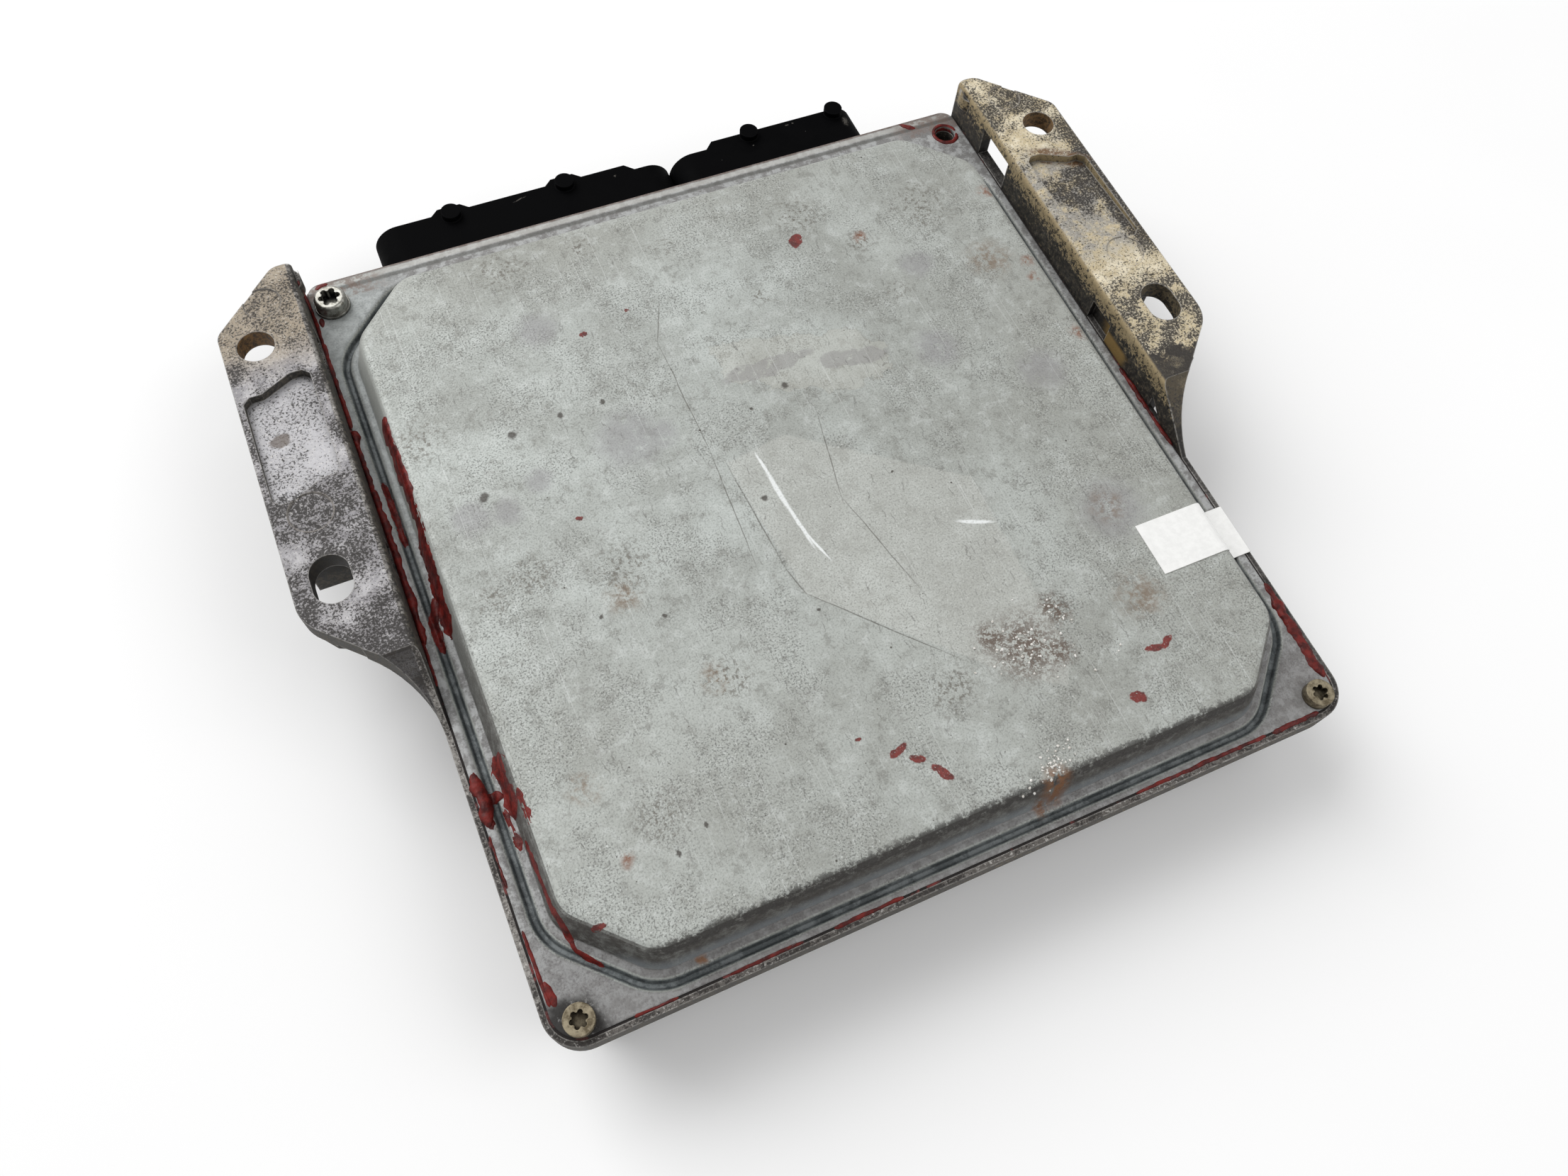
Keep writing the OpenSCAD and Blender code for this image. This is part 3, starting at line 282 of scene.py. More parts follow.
def cover_finish():
    f = Finish("galvanised sheet", Metallic=0.2)
    x = f.axis("X")
    y = f.axis("Y")
    z = f.axis("Z")
    ragged = f.ragged(4, 4)
    torn = f.ragged(1.6, 1.6)
    grain = f.noise(0.42, 2)
    salt = f.noise(0.5, 3, 0.6)
    fine = f.noise(2.2, 6, 0.7)
    cloud = f.noise(24, 7, 0.6)
    wide = f.noise(40, 4)
    worn = f.step(f.noise(17, 6, 0.62), 0.44, 0.6)
    # Base tone: bluish and light in the middle; painted shade makes it warmer and darker to the right and
    # to the edges
    colour = f.mix(f.step(cloud, 0.34, 0.66), paint(158, 161, 156), paint(183, 188, 184))
    shade = f.either(f.step(x, 5, 85, 0.0, 0.5), f.step(y, 55, 90, 0.0, 0.6), f.step(y, 0, -55, 0.0, 0.3))
    colour = f.mix(f.both(shade, f.step(wide, 0.3, 0.62, 0.5, 1.0)), colour, paint(147, 146, 138))
    blotch = f.noise(4.2, 8, 0.75)
    colour = f.mix(f.step(blotch, 0.54, 0.62, 0.0, 0.5), colour, paint(124, 124, 118))
    colour = f.mix(f.step(blotch, 0.47, 0.38, 0.0, 0.4), colour, paint(198, 202, 199))
    # Fine dark and light speckle where the coat is worn
    film = f.inside(torn, FILM)
    torn_film = f.inside(f.ragged(7, 13), TORN_FILM)
    worn = f.either(worn, f.both(film, 0.9))
    dark_grain = f.both(f.step(grain, 0.5, 0.62), f.step(worn, 0, 1, 0.3, 0.7))
    colour = f.mix(dark_grain, colour, paint(104, 105, 102))
    light_grain = f.both(f.step(salt, 0.55, 0.68), f.step(worn, 0, 1, 0.2, 0.55))
    colour = f.mix(light_grain, colour, paint(212, 215, 212))
    colour = f.mix(f.both(f.step(fine, 0.56, 0.7), 0.5), colour, paint(132, 131, 127))
    # Torn label film with its darker bare patches and edge
    colour = f.mix(f.both(film, 0.38), colour, paint(192, 193, 187))
    colour = f.mix(f.both(torn_film, 0.3), colour, paint(178, 176, 166))
    bare = f.both(f.marks(f.ragged(5, 6), TORN_BARE, 0.1), f.step(fine, 0.36, 0.44))
    colour = f.mix(f.both(bare, 0.6), colour, paint(142, 140, 139))
    rim_line = f.both(torn_film, f.inverse(f.step(torn_film, 0.35, 0.75)), f.step(fine, 0.4, 0.56))
    colour = f.mix(f.both(rim_line, 1.8), colour, paint(110, 106, 98))
    # Stains, corrosion and rust
    stain = f.both(f.spots(ragged, GREY_STAINS, 0.5), f.step(fine, 0.28, 0.5))
    colour = f.mix(f.both(stain, 0.55), colour, paint(140, 138, 140))
    mottled = f.both(f.spots(ragged, MOTTLED_SPOTS, 0.8), f.step(f.noise(1.1, 5, 0.7), 0.5, 0.6))
    colour = f.mix(f.both(mottled, 0.8), colour, paint(104, 100, 92))
    brown = f.both(f.spots(ragged, BROWN_STAINS, 0.8), f.step(fine, 0.4, 0.6))
    colour = f.mix(f.both(brown, 0.7), colour, paint(118, 98, 78))
    pitted = f.both(f.spots(ragged, CORROSION, 0.7), f.step(f.noise(0.9, 5, 0.7), 0.44, 0.54))
    colour = f.mix(f.both(pitted, 0.85), colour, paint(88, 70, 58))
    rust = f.both(f.spots(ragged, RUST_SPOTS, 0.9), f.step(fine, 0.4, 0.56))
    colour = f.mix(f.both(rust, 0.85), colour, paint(122, 74, 46))
    # Scratches and specks
    hair = f.step(f.noise(1.0, 2, stretch=(0.3, 46, 46)), 0.67, 0.7)
    colour = f.mix(f.both(hair, 0.3), colour, paint(214, 217, 215))
    scuff = f.step(f.noise(1.0, 3, stretch=(0.4, 5, 5), at=ragged), 0.64, 0.68)
    colour = f.mix(f.both(scuff, 0.5), colour, paint(100, 99, 95))
    line = f.marks(f.ragged(20, 1.2), DARK_LINES, 0.5)
    colour = f.mix(f.both(line, f.step(fine, 0.3, 0.5, 0.3, 0.75)), colour, paint(96, 94, 88))
    gouge = f.both(f.marks(f.ragged(6, 0.8), WHITE_GOUGES, 0.4), f.step(salt, 0.34, 0.5, 0.5, 1.0))
    colour = f.mix(gouge, colour, paint(228, 231, 230))
    dark = f.either(f.spots(torn, DARK_SPECKS), f.specks(6, 0.3, 0.25), f.specks(2.3, 0.17, 0.35))
    colour = f.mix(f.both(dark, 0.85), colour, paint(62, 56, 50))
    # Edges: painted shade and a painted reflection in the slate groove; walls lighter at the rear and
    # darker to the front with dirt and painted shade, with a bluish painted reflection at the front wall's
    # foot; a thin dark ragged line along the front edge
    # The slate tone in the groove below the rim is painted shade with a dark painted reflection
    groove_shade = f.step(z, RIM_Z - 0.2, RIM_Z - 0.8)
    groove_shade_tone = f.mix(f.step(blotch, 0.42, 0.58), paint(54, 62, 66), paint(112, 118, 120))
    colour = f.mix(f.both(groove_shade, 0.9), colour, groove_shade_tone)
    # The wall tone is partly painted light: rear walls lighter, front walls darker with dirt and painted
    # shade, and a bluish painted reflection at their foot
    wall = f.both(f.step(f.facing("Z"), 0.92, 0.6), f.step(z, RIM_Z - 0.2, RIM_Z + 0.6))
    foot_reflection = f.both(f.step(z, RIM_Z + 4.5, RIM_Z + 0.5), f.step(y, -80, -FIELD_Y))
    wall_dirt_and_painted_light = f.mix(foot_reflection, paint(64, 60, 56), paint(126, 131, 135))
    wall_dirt_and_painted_light = f.mix(f.step(y, 25, -40), paint(160, 162, 157), wall_dirt_and_painted_light)
    colour = f.mix(f.both(wall, f.step(fine, 0.3, 0.6, 0.65, 0.95)), colour, wall_dirt_and_painted_light)
    front = f.both(f.step(y, -FIELD_Y + 2.6, -FIELD_Y - 0.4), f.step(z, RIM_Z + 4, RIM_Z + 7))
    front_dark_line = f.step(f.math("ADD", f.noise(1.6, 8, 0.75), f.both(front, 0.2)), 0.58, 0.68)
    colour = f.mix(f.both(front_dark_line, front, 0.9), colour, paint(48, 45, 42))
    # Flat rim: blotched grey, with a bluish painted highlight at the rear left, darker to the front and
    # rusty at the front edge
    strip = f.both(f.step(z, RIM_Z + 0.5, RIM_Z + 0.1), f.step(z, RIM_Z - 0.3, RIM_Z - 0.1))
    strip_tone = f.mix(f.step(fine, 0.42, 0.6), paint(108, 105, 106), paint(170, 171, 172))
    rear_left_highlight = f.both(f.step(x, -60, -80), f.step(y, -10, 40), 0.6)
    strip_tone = f.mix(rear_left_highlight, strip_tone, paint(158, 165, 165))
    strip_tone = f.mix(f.step(y, -60, -FIELD_Y, 0.0, 0.6), strip_tone, paint(98, 93, 94))
    colour = f.mix(f.both(strip, 0.75), colour, strip_tone)
    edge_rust = f.both(f.spots(ragged, EDGE_RUST, 0.7), f.step(fine, 0.38, 0.52))
    colour = f.mix(f.both(edge_rust, 0.85), colour, paint(126, 82, 44))
    # Rear of the rim: a painted groove shadow as a dark pressed line, a painted highlight as a light ridge,
    # brown dirt at the edge and in the corners
    rear = f.both(strip, f.step(y, SCREW_Y + 1, SCREW_Y + 2))
    painted_groove_shadow = f.both(rear, f.step(y, SCREW_Y + 3.9, SCREW_Y + 4.5), f.step(y, SCREW_Y + 5.7, SCREW_Y + 5.1))
    colour = f.mix(f.both(painted_groove_shadow, 0.75), colour, paint(84, 84, 80))
    painted_ridge_highlight = f.both(rear, f.step(y, SCREW_Y + 5.4, SCREW_Y + 6), f.step(y, SCREW_Y + 7.4, SCREW_Y + 6.9))
    colour = f.mix(f.both(painted_ridge_highlight, 0.6), colour, paint(186, 185, 180))
    corner = f.step(f.math("ADD", f.math("ABSOLUTE", x), f.both(fine, 12)), 74, 84)
    corner = f.both(corner, f.step(fine, 0.4, 0.56))
    brown_rear = f.both(rear, f.either(f.step(y, SCREW_Y + 7, SCREW_Y + 7.6), corner))
    colour = f.mix(f.both(brown_rear, 0.7), colour, paint(98, 76, 64))
    # Grime and painted shade in grooves and corners, and oil
    rounding = f.rounding(0.5)
    grime_and_shade = f.both(f.crevices(3.2), f.step(fine, 0.2, 0.6, 0.5, 1.0))
    colour = f.mix(f.step(grime_and_shade, 0.3, 0.75, 0.0, 0.8), colour, paint(46, 44, 42))
    oil = f.spots(ragged, COVER_OIL, 0.25)
    oil = f.both(oil, f.step(f.noise(1.6, 5, 0.7), 0.34, 0.46))
    colour = f.mix(f.both(oil, 0.92), colour, paint(26, 23, 21))
    # Spots of red sealant
    red = f.both(f.marks(f.ragged(2, 2.4), RED_BLOTS, 0.12), f.step(salt, 0.3, 0.4))
    red_tone = f.mix(f.step(fine, 0.4, 0.62), paint(80, 19, 16), paint(120, 33, 27))
    colour = f.mix(f.both(red, 0.94), colour, red_tone)
    rough = f.step(grain, 0.3, 0.7, 0.5, 0.68)
    relief = f.math("ADD", f.both(grain, 0.02), f.both(f.noise(30, 2), 0.5))
    return f.finish(colour, rough, relief, rounding)


# Mould marks on the ears: middle and radius
MOULD_MARKS = [(-99.3, 86.8, 4.25), (-102.6, 28, 4.8), (99.3, 86.8, 4.25)]
# Oil on the front lip's left corner: middle and radius
LIP_OIL = [(-SCREW_X - 3, -SCREW_Y - 3, 7)]
# Marks, holes and slots on the ears: x, y, half length, half width, turn
RUST_STREAK = strokes(1.5, (97.6, 66), (103, 63.8), (108.6, 60))
BROWN_BLOT = (-104.6, 49, 2.3, 1.7, 0)
OCHRE_PATCH = (91.6, 8.5, 6, 3, 90)
EAR_HOLES = [(side * 103.4, 75, 4.5, 4.5, 0) for side in (-1, 1)]
EAR_SLOTS = [(side * 102.6, 10.8, 6.6, 5.2, 90) for side in (-1, 1)]


def case_finish():
    f = Finish("corroded cast aluminium", Metallic=0.1)
    x = f.axis("X")
    y = f.axis("Y")
    z = f.axis("Z")
    up = f.step(f.facing("Z"), 0.6, 0.9)
    salt = f.noise(0.6, 4, 0.7)
    fine = f.noise(0.9, 7, 0.76)
    patch = f.noise(4, 7, 0.7)
    wide = f.noise(11, 6, 0.66)
    # Plain casting on body and rim
    colour = f.mix(f.step(fine, 0.4, 0.6), paint(98, 94, 90), paint(150, 147, 142))
    # Front lip, darker and oily at its left corner
    colour = f.mix(f.step(y, -88, -92, 0.0, 0.6), colour, paint(66, 60, 55))
    oil = f.spots(f.ragged(4, 4), LIP_OIL, 0.4)
    colour = f.mix(f.both(oil, f.step(fine, 0.3, 0.5, 0.5, 0.92)), colour, paint(28, 25, 23))
    # Left ear: lilac grey, brown at its rear end, pale floor in the pocket
    left = f.step(x, -COVER_X - 1.6, -COVER_X - 2)
    lilac = f.mix(f.step(patch, 0.4, 0.62), paint(146, 144, 147), paint(186, 184, 186))
    colour = f.mix(left, colour, lilac)
    brown = f.both(left, f.step(f.math("ADD", y, f.both(patch, 14)), 70, 84))
    colour = f.mix(f.both(brown, 0.8), colour, paint(164, 149, 124))
    # Right ear: cream, greyer in its middle
    right = f.both(f.step(x, COVER_X + 0.6, COVER_X + 1), f.step(z, EAR_Z - 9, EAR_Z - 8))
    cream = f.mix(f.step(patch, 0.38, 0.62), paint(196, 181, 148), paint(230, 219, 193))
    colour = f.mix(right, colour, cream)
    middle = f.both(right, f.step(y, 24, 34), f.step(y, 70, 60), f.step(patch, 0.36, 0.56))
    colour = f.mix(f.both(middle, 0.85), colour, paint(136, 134, 131))
    pocket = f.both(up, f.step(z, EAR_Z - 0.35, EAR_Z - 0.5), f.step(z, EAR_Z - 4, EAR_Z - 3.6))
    colour = f.mix(f.both(pocket, left, 0.9), colour, paint(194, 193, 196))
    # White bloom, then black mottling in clusters
    colour = f.mix(f.step(salt, 0.54, 0.66, 0.0, 0.55), colour, paint(222, 219, 214))
    thin = f.either(f.both(right, f.step(y, 16, 24), f.step(y, 48, 38), 0.8), f.both(pocket, left, 0.5))
    thin = f.either(thin, f.both(brown, 0.25))
    clusters = f.both(f.step(wide, 0.36, 0.62), f.inverse(thin))
    greasy = f.either(f.both(left, f.step(y, 19, 24), f.step(y, 38, 33)), f.both(right, f.step(y, 22, 15)))
    outer = f.step(f.math("ADD", x, f.both(patch, 8)), 109, 112)
    outer = f.both(right, outer, f.step(y, 20, 30), f.step(y, 82, 72))
    clusters = f.either(clusters, outer, f.both(greasy, f.step(patch, 0.4, 0.54)))
    colour = f.mix(f.both(clusters, 0.4), colour, paint(84, 78, 74))
    pepper = f.noise(0.55, 6, 0.74)
    black = f.step(f.math("ADD", pepper, f.both(clusters, 0.15)), 0.57, 0.62)
    colour = f.mix(f.both(black, 0.92), colour, paint(36, 32, 29))
    # Dark noses, round marks left by the mould, a rust streak on the right and a blot on the left
    nose = f.step(f.math("ADD", y, f.both(right, f.both(patch, -14))), -9.2, -10.2)
    nose = f.both(nose, f.either(left, right), f.step(pepper, 0.4, 0.6, 0.95, 0.6))
    colour = f.mix(nose, colour, paint(38, 34, 32))
    marks = f.either(*[f.ring(x0, y0, radius) for x0, y0, radius in MOULD_MARKS])
    colour = f.mix(f.both(marks, up, f.step(fine, 0.35, 0.5), 0.75), colour, paint(84, 70, 54))
    frayed = f.ragged(2.4, 3)
    rust = f.marks(frayed, RUST_STREAK, 0.5)
    colour = f.mix(f.both(rust, f.step(fine, 0.38, 0.52), 0.9), colour, paint(98, 66, 34))
    blot = f.mark(frayed, *BROWN_BLOT, soft=0.2)
    colour = f.mix(f.both(blot, 0.75), colour, paint(92, 80, 70))
    # Upright faces are darkened with dirt and painted shade, with a pale crust on the right, and painted
    # shade below the ears
    upright = f.inverse(up)
    dirt_and_shade = f.mix(f.step(fine, 0.42, 0.6), paint(30, 29, 26), paint(84, 78, 68))
    crust = f.step(f.math("ADD", fine, f.step(z, EAR_Z - 8, EAR_Z, 0.0, 0.2)), 0.58, 0.66)
    crust = f.both(crust, f.step(x, 0, 1))
    dirt_and_shade = f.mix(f.both(crust, 0.85), dirt_and_shade, paint(168, 150, 114))
    colour = f.mix(f.both(upright, f.step(patch, 0.3, 0.5, 0.75, 0.95)), colour, dirt_and_shade)
    shade_below_ears = f.both(f.either(left, f.step(x, COVER_X, COVER_X + 1)), f.step(z, EAR_Z - 5.5, EAR_Z - 7.5))
    shade_below_ears = f.both(shade_below_ears, f.step(z, RIM_Z - 3, RIM_Z - 1))
    colour = f.mix(f.both(shade_below_ears, 0.7), colour, paint(24, 22, 21))
    # Ochre dirt low on the right ear's inner wall
    ochre = f.both(f.mark(frayed, *OCHRE_PATCH, soft=0.3), f.step(z, RIM_Z + 4.5, RIM_Z + 3))
    ochre = f.both(ochre, f.step(f.facing("X"), -0.5, -0.8))
    colour = f.mix(f.both(ochre, 0.85), colour, paint(150, 122, 70))
    # Rusty walls in the mounting holes; painted shade on the walls in the slots
    bores = f.marks(f.place, EAR_HOLES, 0.05)
    rusty = f.mix(f.step(fine, 0.4, 0.6), paint(62, 48, 30), paint(138, 106, 66))
    colour = f.mix(f.both(bores, upright, 0.9), colour, rusty)
    slot_shade = f.marks(f.place, EAR_SLOTS, 0.05)
    colour = f.mix(f.both(slot_shade, upright, f.step(fine, 0.4, 0.6, 0.9, 0.6)), colour, paint(30, 27, 24))
    # Bright worn edges, and corners darkened with dirt and painted shade
    rounding = f.rounding(0.5)
    wear = f.both(f.edges(rounding), f.step(fine, 0.36, 0.52))
    colour = f.mix(f.both(wear, 0.6), colour, paint(190, 187, 182))
    colour = f.mix(f.step(f.crevices(5), 0.35, 0.8, 0.0, 0.92), colour, paint(28, 25, 23))
    rough = f.step(fine, 0.3, 0.7, 0.55, 0.85)
    relief = f.math("ADD", f.both(fine, 0.08), f.both(patch, 0.15))
    return f.finish(colour, rough, relief, rounding)


def red_tones(f):
    """Cloudy dark reds of the sealant."""
    cloud = f.noise(2.4, 6, 0.62)
    colour = f.mix(f.step(cloud, 0.36, 0.64), paint(64, 13, 11), paint(112, 29, 23))
    return f.mix(f.step(f.noise(0.9, 6, 0.7), 0.6, 0.75, 0.0, 0.7), colour, paint(52, 22, 20))


def sealant_finish():
    """Squeezed-out sealant: red lumps laid on the cover."""
    f = Finish("red sealant", Specular_IOR_Level=0.3)
    rough = f.step(f.noise(3, 4), 0.3, 0.7, 0.42, 0.65)
    return f.finish(red_tones(f), rough, f.both(f.noise(0.7, 4), 0.16))


def crack_finish():
    """Sealant deep in the crack: mostly black, from dirt and painted shade of the deep crack, red along the
    left side.
    """
    f = Finish("shaded dirty sealant")
    left = f.both(f.step(f.axis("X"), -60, -88), f.step(f.axis("Y"), -20, 10))
    clean = f.step(f.math("ADD", f.noise(9, 5, 0.65), f.both(left, 0.14)), 0.55, 0.63)
    colour = f.mix(clean, paint(24, 18, 16), red_tones(f))
    return f.finish(colour, f.step(clean, 0, 1, 0.85, 0.5), f.both(f.noise(0.8, 4), 0.2))


def metal_finish(name, light, dark, dirt_and_shade, roughness, dirt_and_shade_share=0.8):
    f = Finish(name, Metallic=0.85)
    cloud = f.noise(1.4, 6, 0.65)
    colour = f.mix(f.step(cloud, 0.35, 0.65), dark, light)
    rounding = f.rounding(0.25)
    # Hollows darkened with dirt and painted shade
    colour = f.mix(f.step(f.crevices(2.4), 0.3, 0.55, 0.0, dirt_and_shade_share), colour, dirt_and_shade)
    rough = f.step(cloud, 0.3, 0.7, roughness, roughness + 0.2)
    return f.finish(colour, rough, f.both(f.noise(0.5, 4), 0.04), rounding)


def plastic_finish(name, low, high, roughness, grain=0.4, rounding_r=0.3):
    f = Finish(name)
    cloud = f.noise(6, 6, 0.6)
    colour = f.mix(f.step(cloud, 0.35, 0.65), low, high)
    rough = f.step(cloud, 0.3, 0.7, roughness, roughness + 0.12)
    return f.finish(colour, rough, f.both(f.noise(grain, 3), 0.03), f.rounding(rounding_r))


# Dust and scuffs on the header's top: x, y, half length, half width, turn
HEADER_DUST = [(-31.6, 108.7, 1.6, 0.16, 15), (-5.4, 107.9, 0.3, 0.3, 0), (33.7, 105.5, 0.25, 0.2, 0),
               (45.5, 109.4, 0.5, 0.25, 0), (47.4, 109.5, 0.25, 0.2, 0), (61.8, 105.6, 1.6, 0.8, 70)]


def header_finish():
    f = Finish("black header plastic", Specular_IOR_Level=0.03)
    cloud = f.noise(7, 6, 0.6)
    colour = f.mix(f.step(cloud, 0.35, 0.65), paint(2, 2, 3), paint(6, 6, 7))
    rounding = f.rounding(0.5)
    colour = f.mix(f.both(f.edges(rounding), 0.15), colour, paint(44, 44, 44))
    colour = f.mix(f.both(f.specks(2.6, 0.12, 0.1), 0.4), colour, paint(120, 118, 112))
    dust = f.both(f.marks(f.ragged(1, 0.8), HEADER_DUST, 0.5), f.step(f.noise(0.5, 4, 0.7), 0.4, 0.55))
    colour = f.mix(f.both(dust, 0.45), colour, paint(120, 116, 110))
    rough = f.step(cloud, 0.3, 0.7, 0.6, 0.8)
    return f.finish(colour, rough, f.both(f.noise(0.4, 3), 0.04), rounding)


def label_finish():
    f = Finish("label paper")
    fibre = f.noise(1.2, 5, 0.6)
    colour = f.mix(f.step(fibre, 0.3, 0.7), paint(230, 230, 228), paint(238, 238, 236))
    smudge = f.both(f.step(f.noise(6, 5, 0.65), 0.56, 0.7), f.step(fibre, 0.4, 0.6))
    colour = f.mix(f.both(smudge, 0.12), colour, paint(176, 172, 164))
    rounding = f.rounding(0.2)
    colour = f.mix(f.both(f.edges(rounding), 0.3), colour, paint(170, 164, 154))
    return f.finish(colour, f.step(fibre, 0.3, 0.7, 0.4, 0.55), f.both(f.noise(5, 3), 0.05), rounding)


def board_finish():
    f = Finish("solder-resist board")
    track = f.step(f.cells(5, feature="DISTANCE_TO_EDGE"), 0.08, 0.05)
    colour = f.mix(f.both(track, 0.6), paint(22, 74, 44), paint(48, 118, 70))
    colour = f.mix(f.step(f.noise(20, 4), 0.4, 0.7, 0.0, 0.3), colour, paint(16, 56, 34))
    return f.finish(colour, f.step(track, 0.0, 1.0, 0.4, 0.3), f.both(track, 0.03))


FINISHES = {
    "case": case_finish(),
    "cover": cover_finish(),
    "cover_sealant": crack_finish(),
    "cover_screws": metal_finish("worn screw", paint(158, 148, 126), paint(96, 86, 68),
                                 paint(30, 25, 20), 0.42),
    "replacement_screw": metal_finish("bright screw", paint(178, 177, 170), paint(122, 120, 112),
                                      paint(14, 13, 12), 0.24, 0.95),
    "tamper_label": label_finish(),
    "connector_header": header_finish(),
    "header_seal": plastic_finish("seal rubber", paint(40, 40, 42), paint(58, 58, 60), 0.7),
    "circuit_board": board_finish(),
    "thermal_pads": plastic_finish("pad rubber", paint(128, 148, 158), paint(150, 168, 176), 0.7),
    "electrolytic_capacitors": plastic_finish("capacitor sleeve", paint(38, 44, 66),
                                              paint(52, 58, 82), 0.35),
    "boost_coil_cores": plastic_finish("ferrite", paint(52, 50, 48), paint(70, 68, 66), 0.75),
    "boost_coil_windings": metal_finish("copper wire", paint(196, 120, 70), paint(150, 84, 44),
                                        paint(70, 36, 20), 0.35),
}
CONTACT = metal_finish("contact metal", paint(214, 196, 140), paint(180, 160, 104), paint(60, 50, 34), 0.3)
STEEL = metal_finish("zinc steel", paint(200, 200, 198), paint(160, 160, 158), paint(40, 38, 36), 0.35)
CHIP = plastic_finish("chip plastic", paint(30, 30, 32), paint(46, 46, 48), 0.55)
CERAMIC = plastic_finish("capacitor ceramic", paint(156, 130, 96), paint(184, 158, 122), 0.5)
SHARED = {CONTACT: ("signal_pins", "power_pins"), STEEL: ("board_screws", "crystal"),
          CERAMIC: ("ceramic_capacitors", "shunt_resistors")}
FINISHES |= {name: material for material, names in SHARED.items() for name in names}
for name, piece in nodes.items():
    piece.data.materials.clear()
    piece.data.materials.append(FINISHES.get(name, CHIP))


# Pieces laid on the surface
def surface(*names):
    """Search tree of the outer faces that carry the laid-on pieces."""
    places = []
    faces = []
    for name in names:
        piece = nodes[name]
        start = len(places)
        places += [piece.matrix_world @ vertex.co for vertex in piece.data.vertices]
        faces += [[start + i for i in polygon.vertices] for polygon in piece.data.polygons]
    return BVHTree.FromPolygons(places, faces)


GROUND = surface("cover", "case", "cover_sealant")
# Height from which rays look down for the surface
SKY = 100
# Laid-on pieces end at the case's lip or, behind the ears' front feet, at the ears' walls
EAR_FOOT = -27
LIP_END = COVER_X + 1.5
CRACK_END = COVER_X + 0.4


def ground(x, y):
    """Place and normal of the surface under a point given in millimetres."""
    end = CRACK_END if y > EAR_FOOT else LIP_END
    x = max(-end, min(end, x))
    place, normal, _, _ = GROUND.ray_cast(Vector((x * MM, y * MM, SKY * MM)), Vector((0, 0, -1)))
    return place, normal


def wander(seed, along, size):
    """Smooth random value from about -1 to 1 that changes over this many millimetres."""
    return noise.noise(Vector((along / size, seed * 7.3, seed * 1.9)))


def spaced(path, pitch):
    """Points along a bent line at an even spacing, each with its direction."""
    points = []
    for (x0, y0), (x1, y1) in zip(path, path[1:]):
        start = Vector((x0, y0))
        run = Vector((x1, y1)) - start
        count = max(1, round(run.length / pitch))
        points += [(start + run * i / count, run.normalized()) for i in range(count)]
    return points


# Points across a bead of sealant, from one edge to the other
ACROSS = [-1, -0.85, -0.5, 0, 0.5, 0.85, 1]
# Spacing of the rows along a bead, and depth of its edges below the surface
BEAD_PITCH = 0.4
SINK = 0.06


def bead(bm, path, half_width, height, seed):
    """Strip of sealant laid along a path: its edges and height wander, its ends run out."""
    points = spaced(path, BEAD_PITCH)
    rows = []
    for i, (point, way) in enumerate(points):
        along = i * BEAD_PITCH
        to_end = min(along, (len(points) - 1 - i) * BEAD_PITCH)
        run_out = min(1.0, math.sqrt(to_end / (2 * half_width))) + 0.05
        aside = Vector((-way.y, way.x))
        row = []
        for share in ACROSS:
            edge = seed + (0.5 if share > 0 else 0)
            sway = 1 + 0.55 * wander(edge, along, 4) + 0.4 * wander(edge, along, 1.3)
            reach = half_width * run_out * max(0.15, sway)
            place, normal = ground(*(point + aside * share * reach))
            swell = 1 + 0.7 * wander(seed + 3, along, 3) + 0.4 * wander(seed + 5, along + share * 3, 1)
            lump = max(0.2, swell)
            lift = height * run_out * lump * math.sqrt(1 - share * share) - SINK
            row.append(bm.verts.new(place + normal * lift * MM))
        rows.append(row)
    for row, following in zip(rows, rows[1:]):
        for i in range(len(ACROSS) - 1):
            bm.faces.new((row[i], following[i], following[i + 1], row[i + 1]))


def ring(x, y, radius, sides=40):
    """Closed round path."""
    turns = [2 * math.pi * i / sides for i in range(sides + 1)]
    return [(x + radius * math.cos(turn), y + radius * math.sin(turn)) for turn in turns]


def laid_piece(name, bm, material):
    mesh = bpy.data.meshes.new(name)
    bmesh.ops.recalc_face_normals(bm, faces=bm.faces)
    bm.to_mesh(mesh)
    bm.free()
    mesh.polygons.foreach_set("use_smooth", [True] * len(mesh.polygons))
    mesh.materials.append(material)
    piece = bpy.data.objects.new(name, mesh)
    bpy.context.scene.collection.objects.link(piece)
    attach(piece, "root")


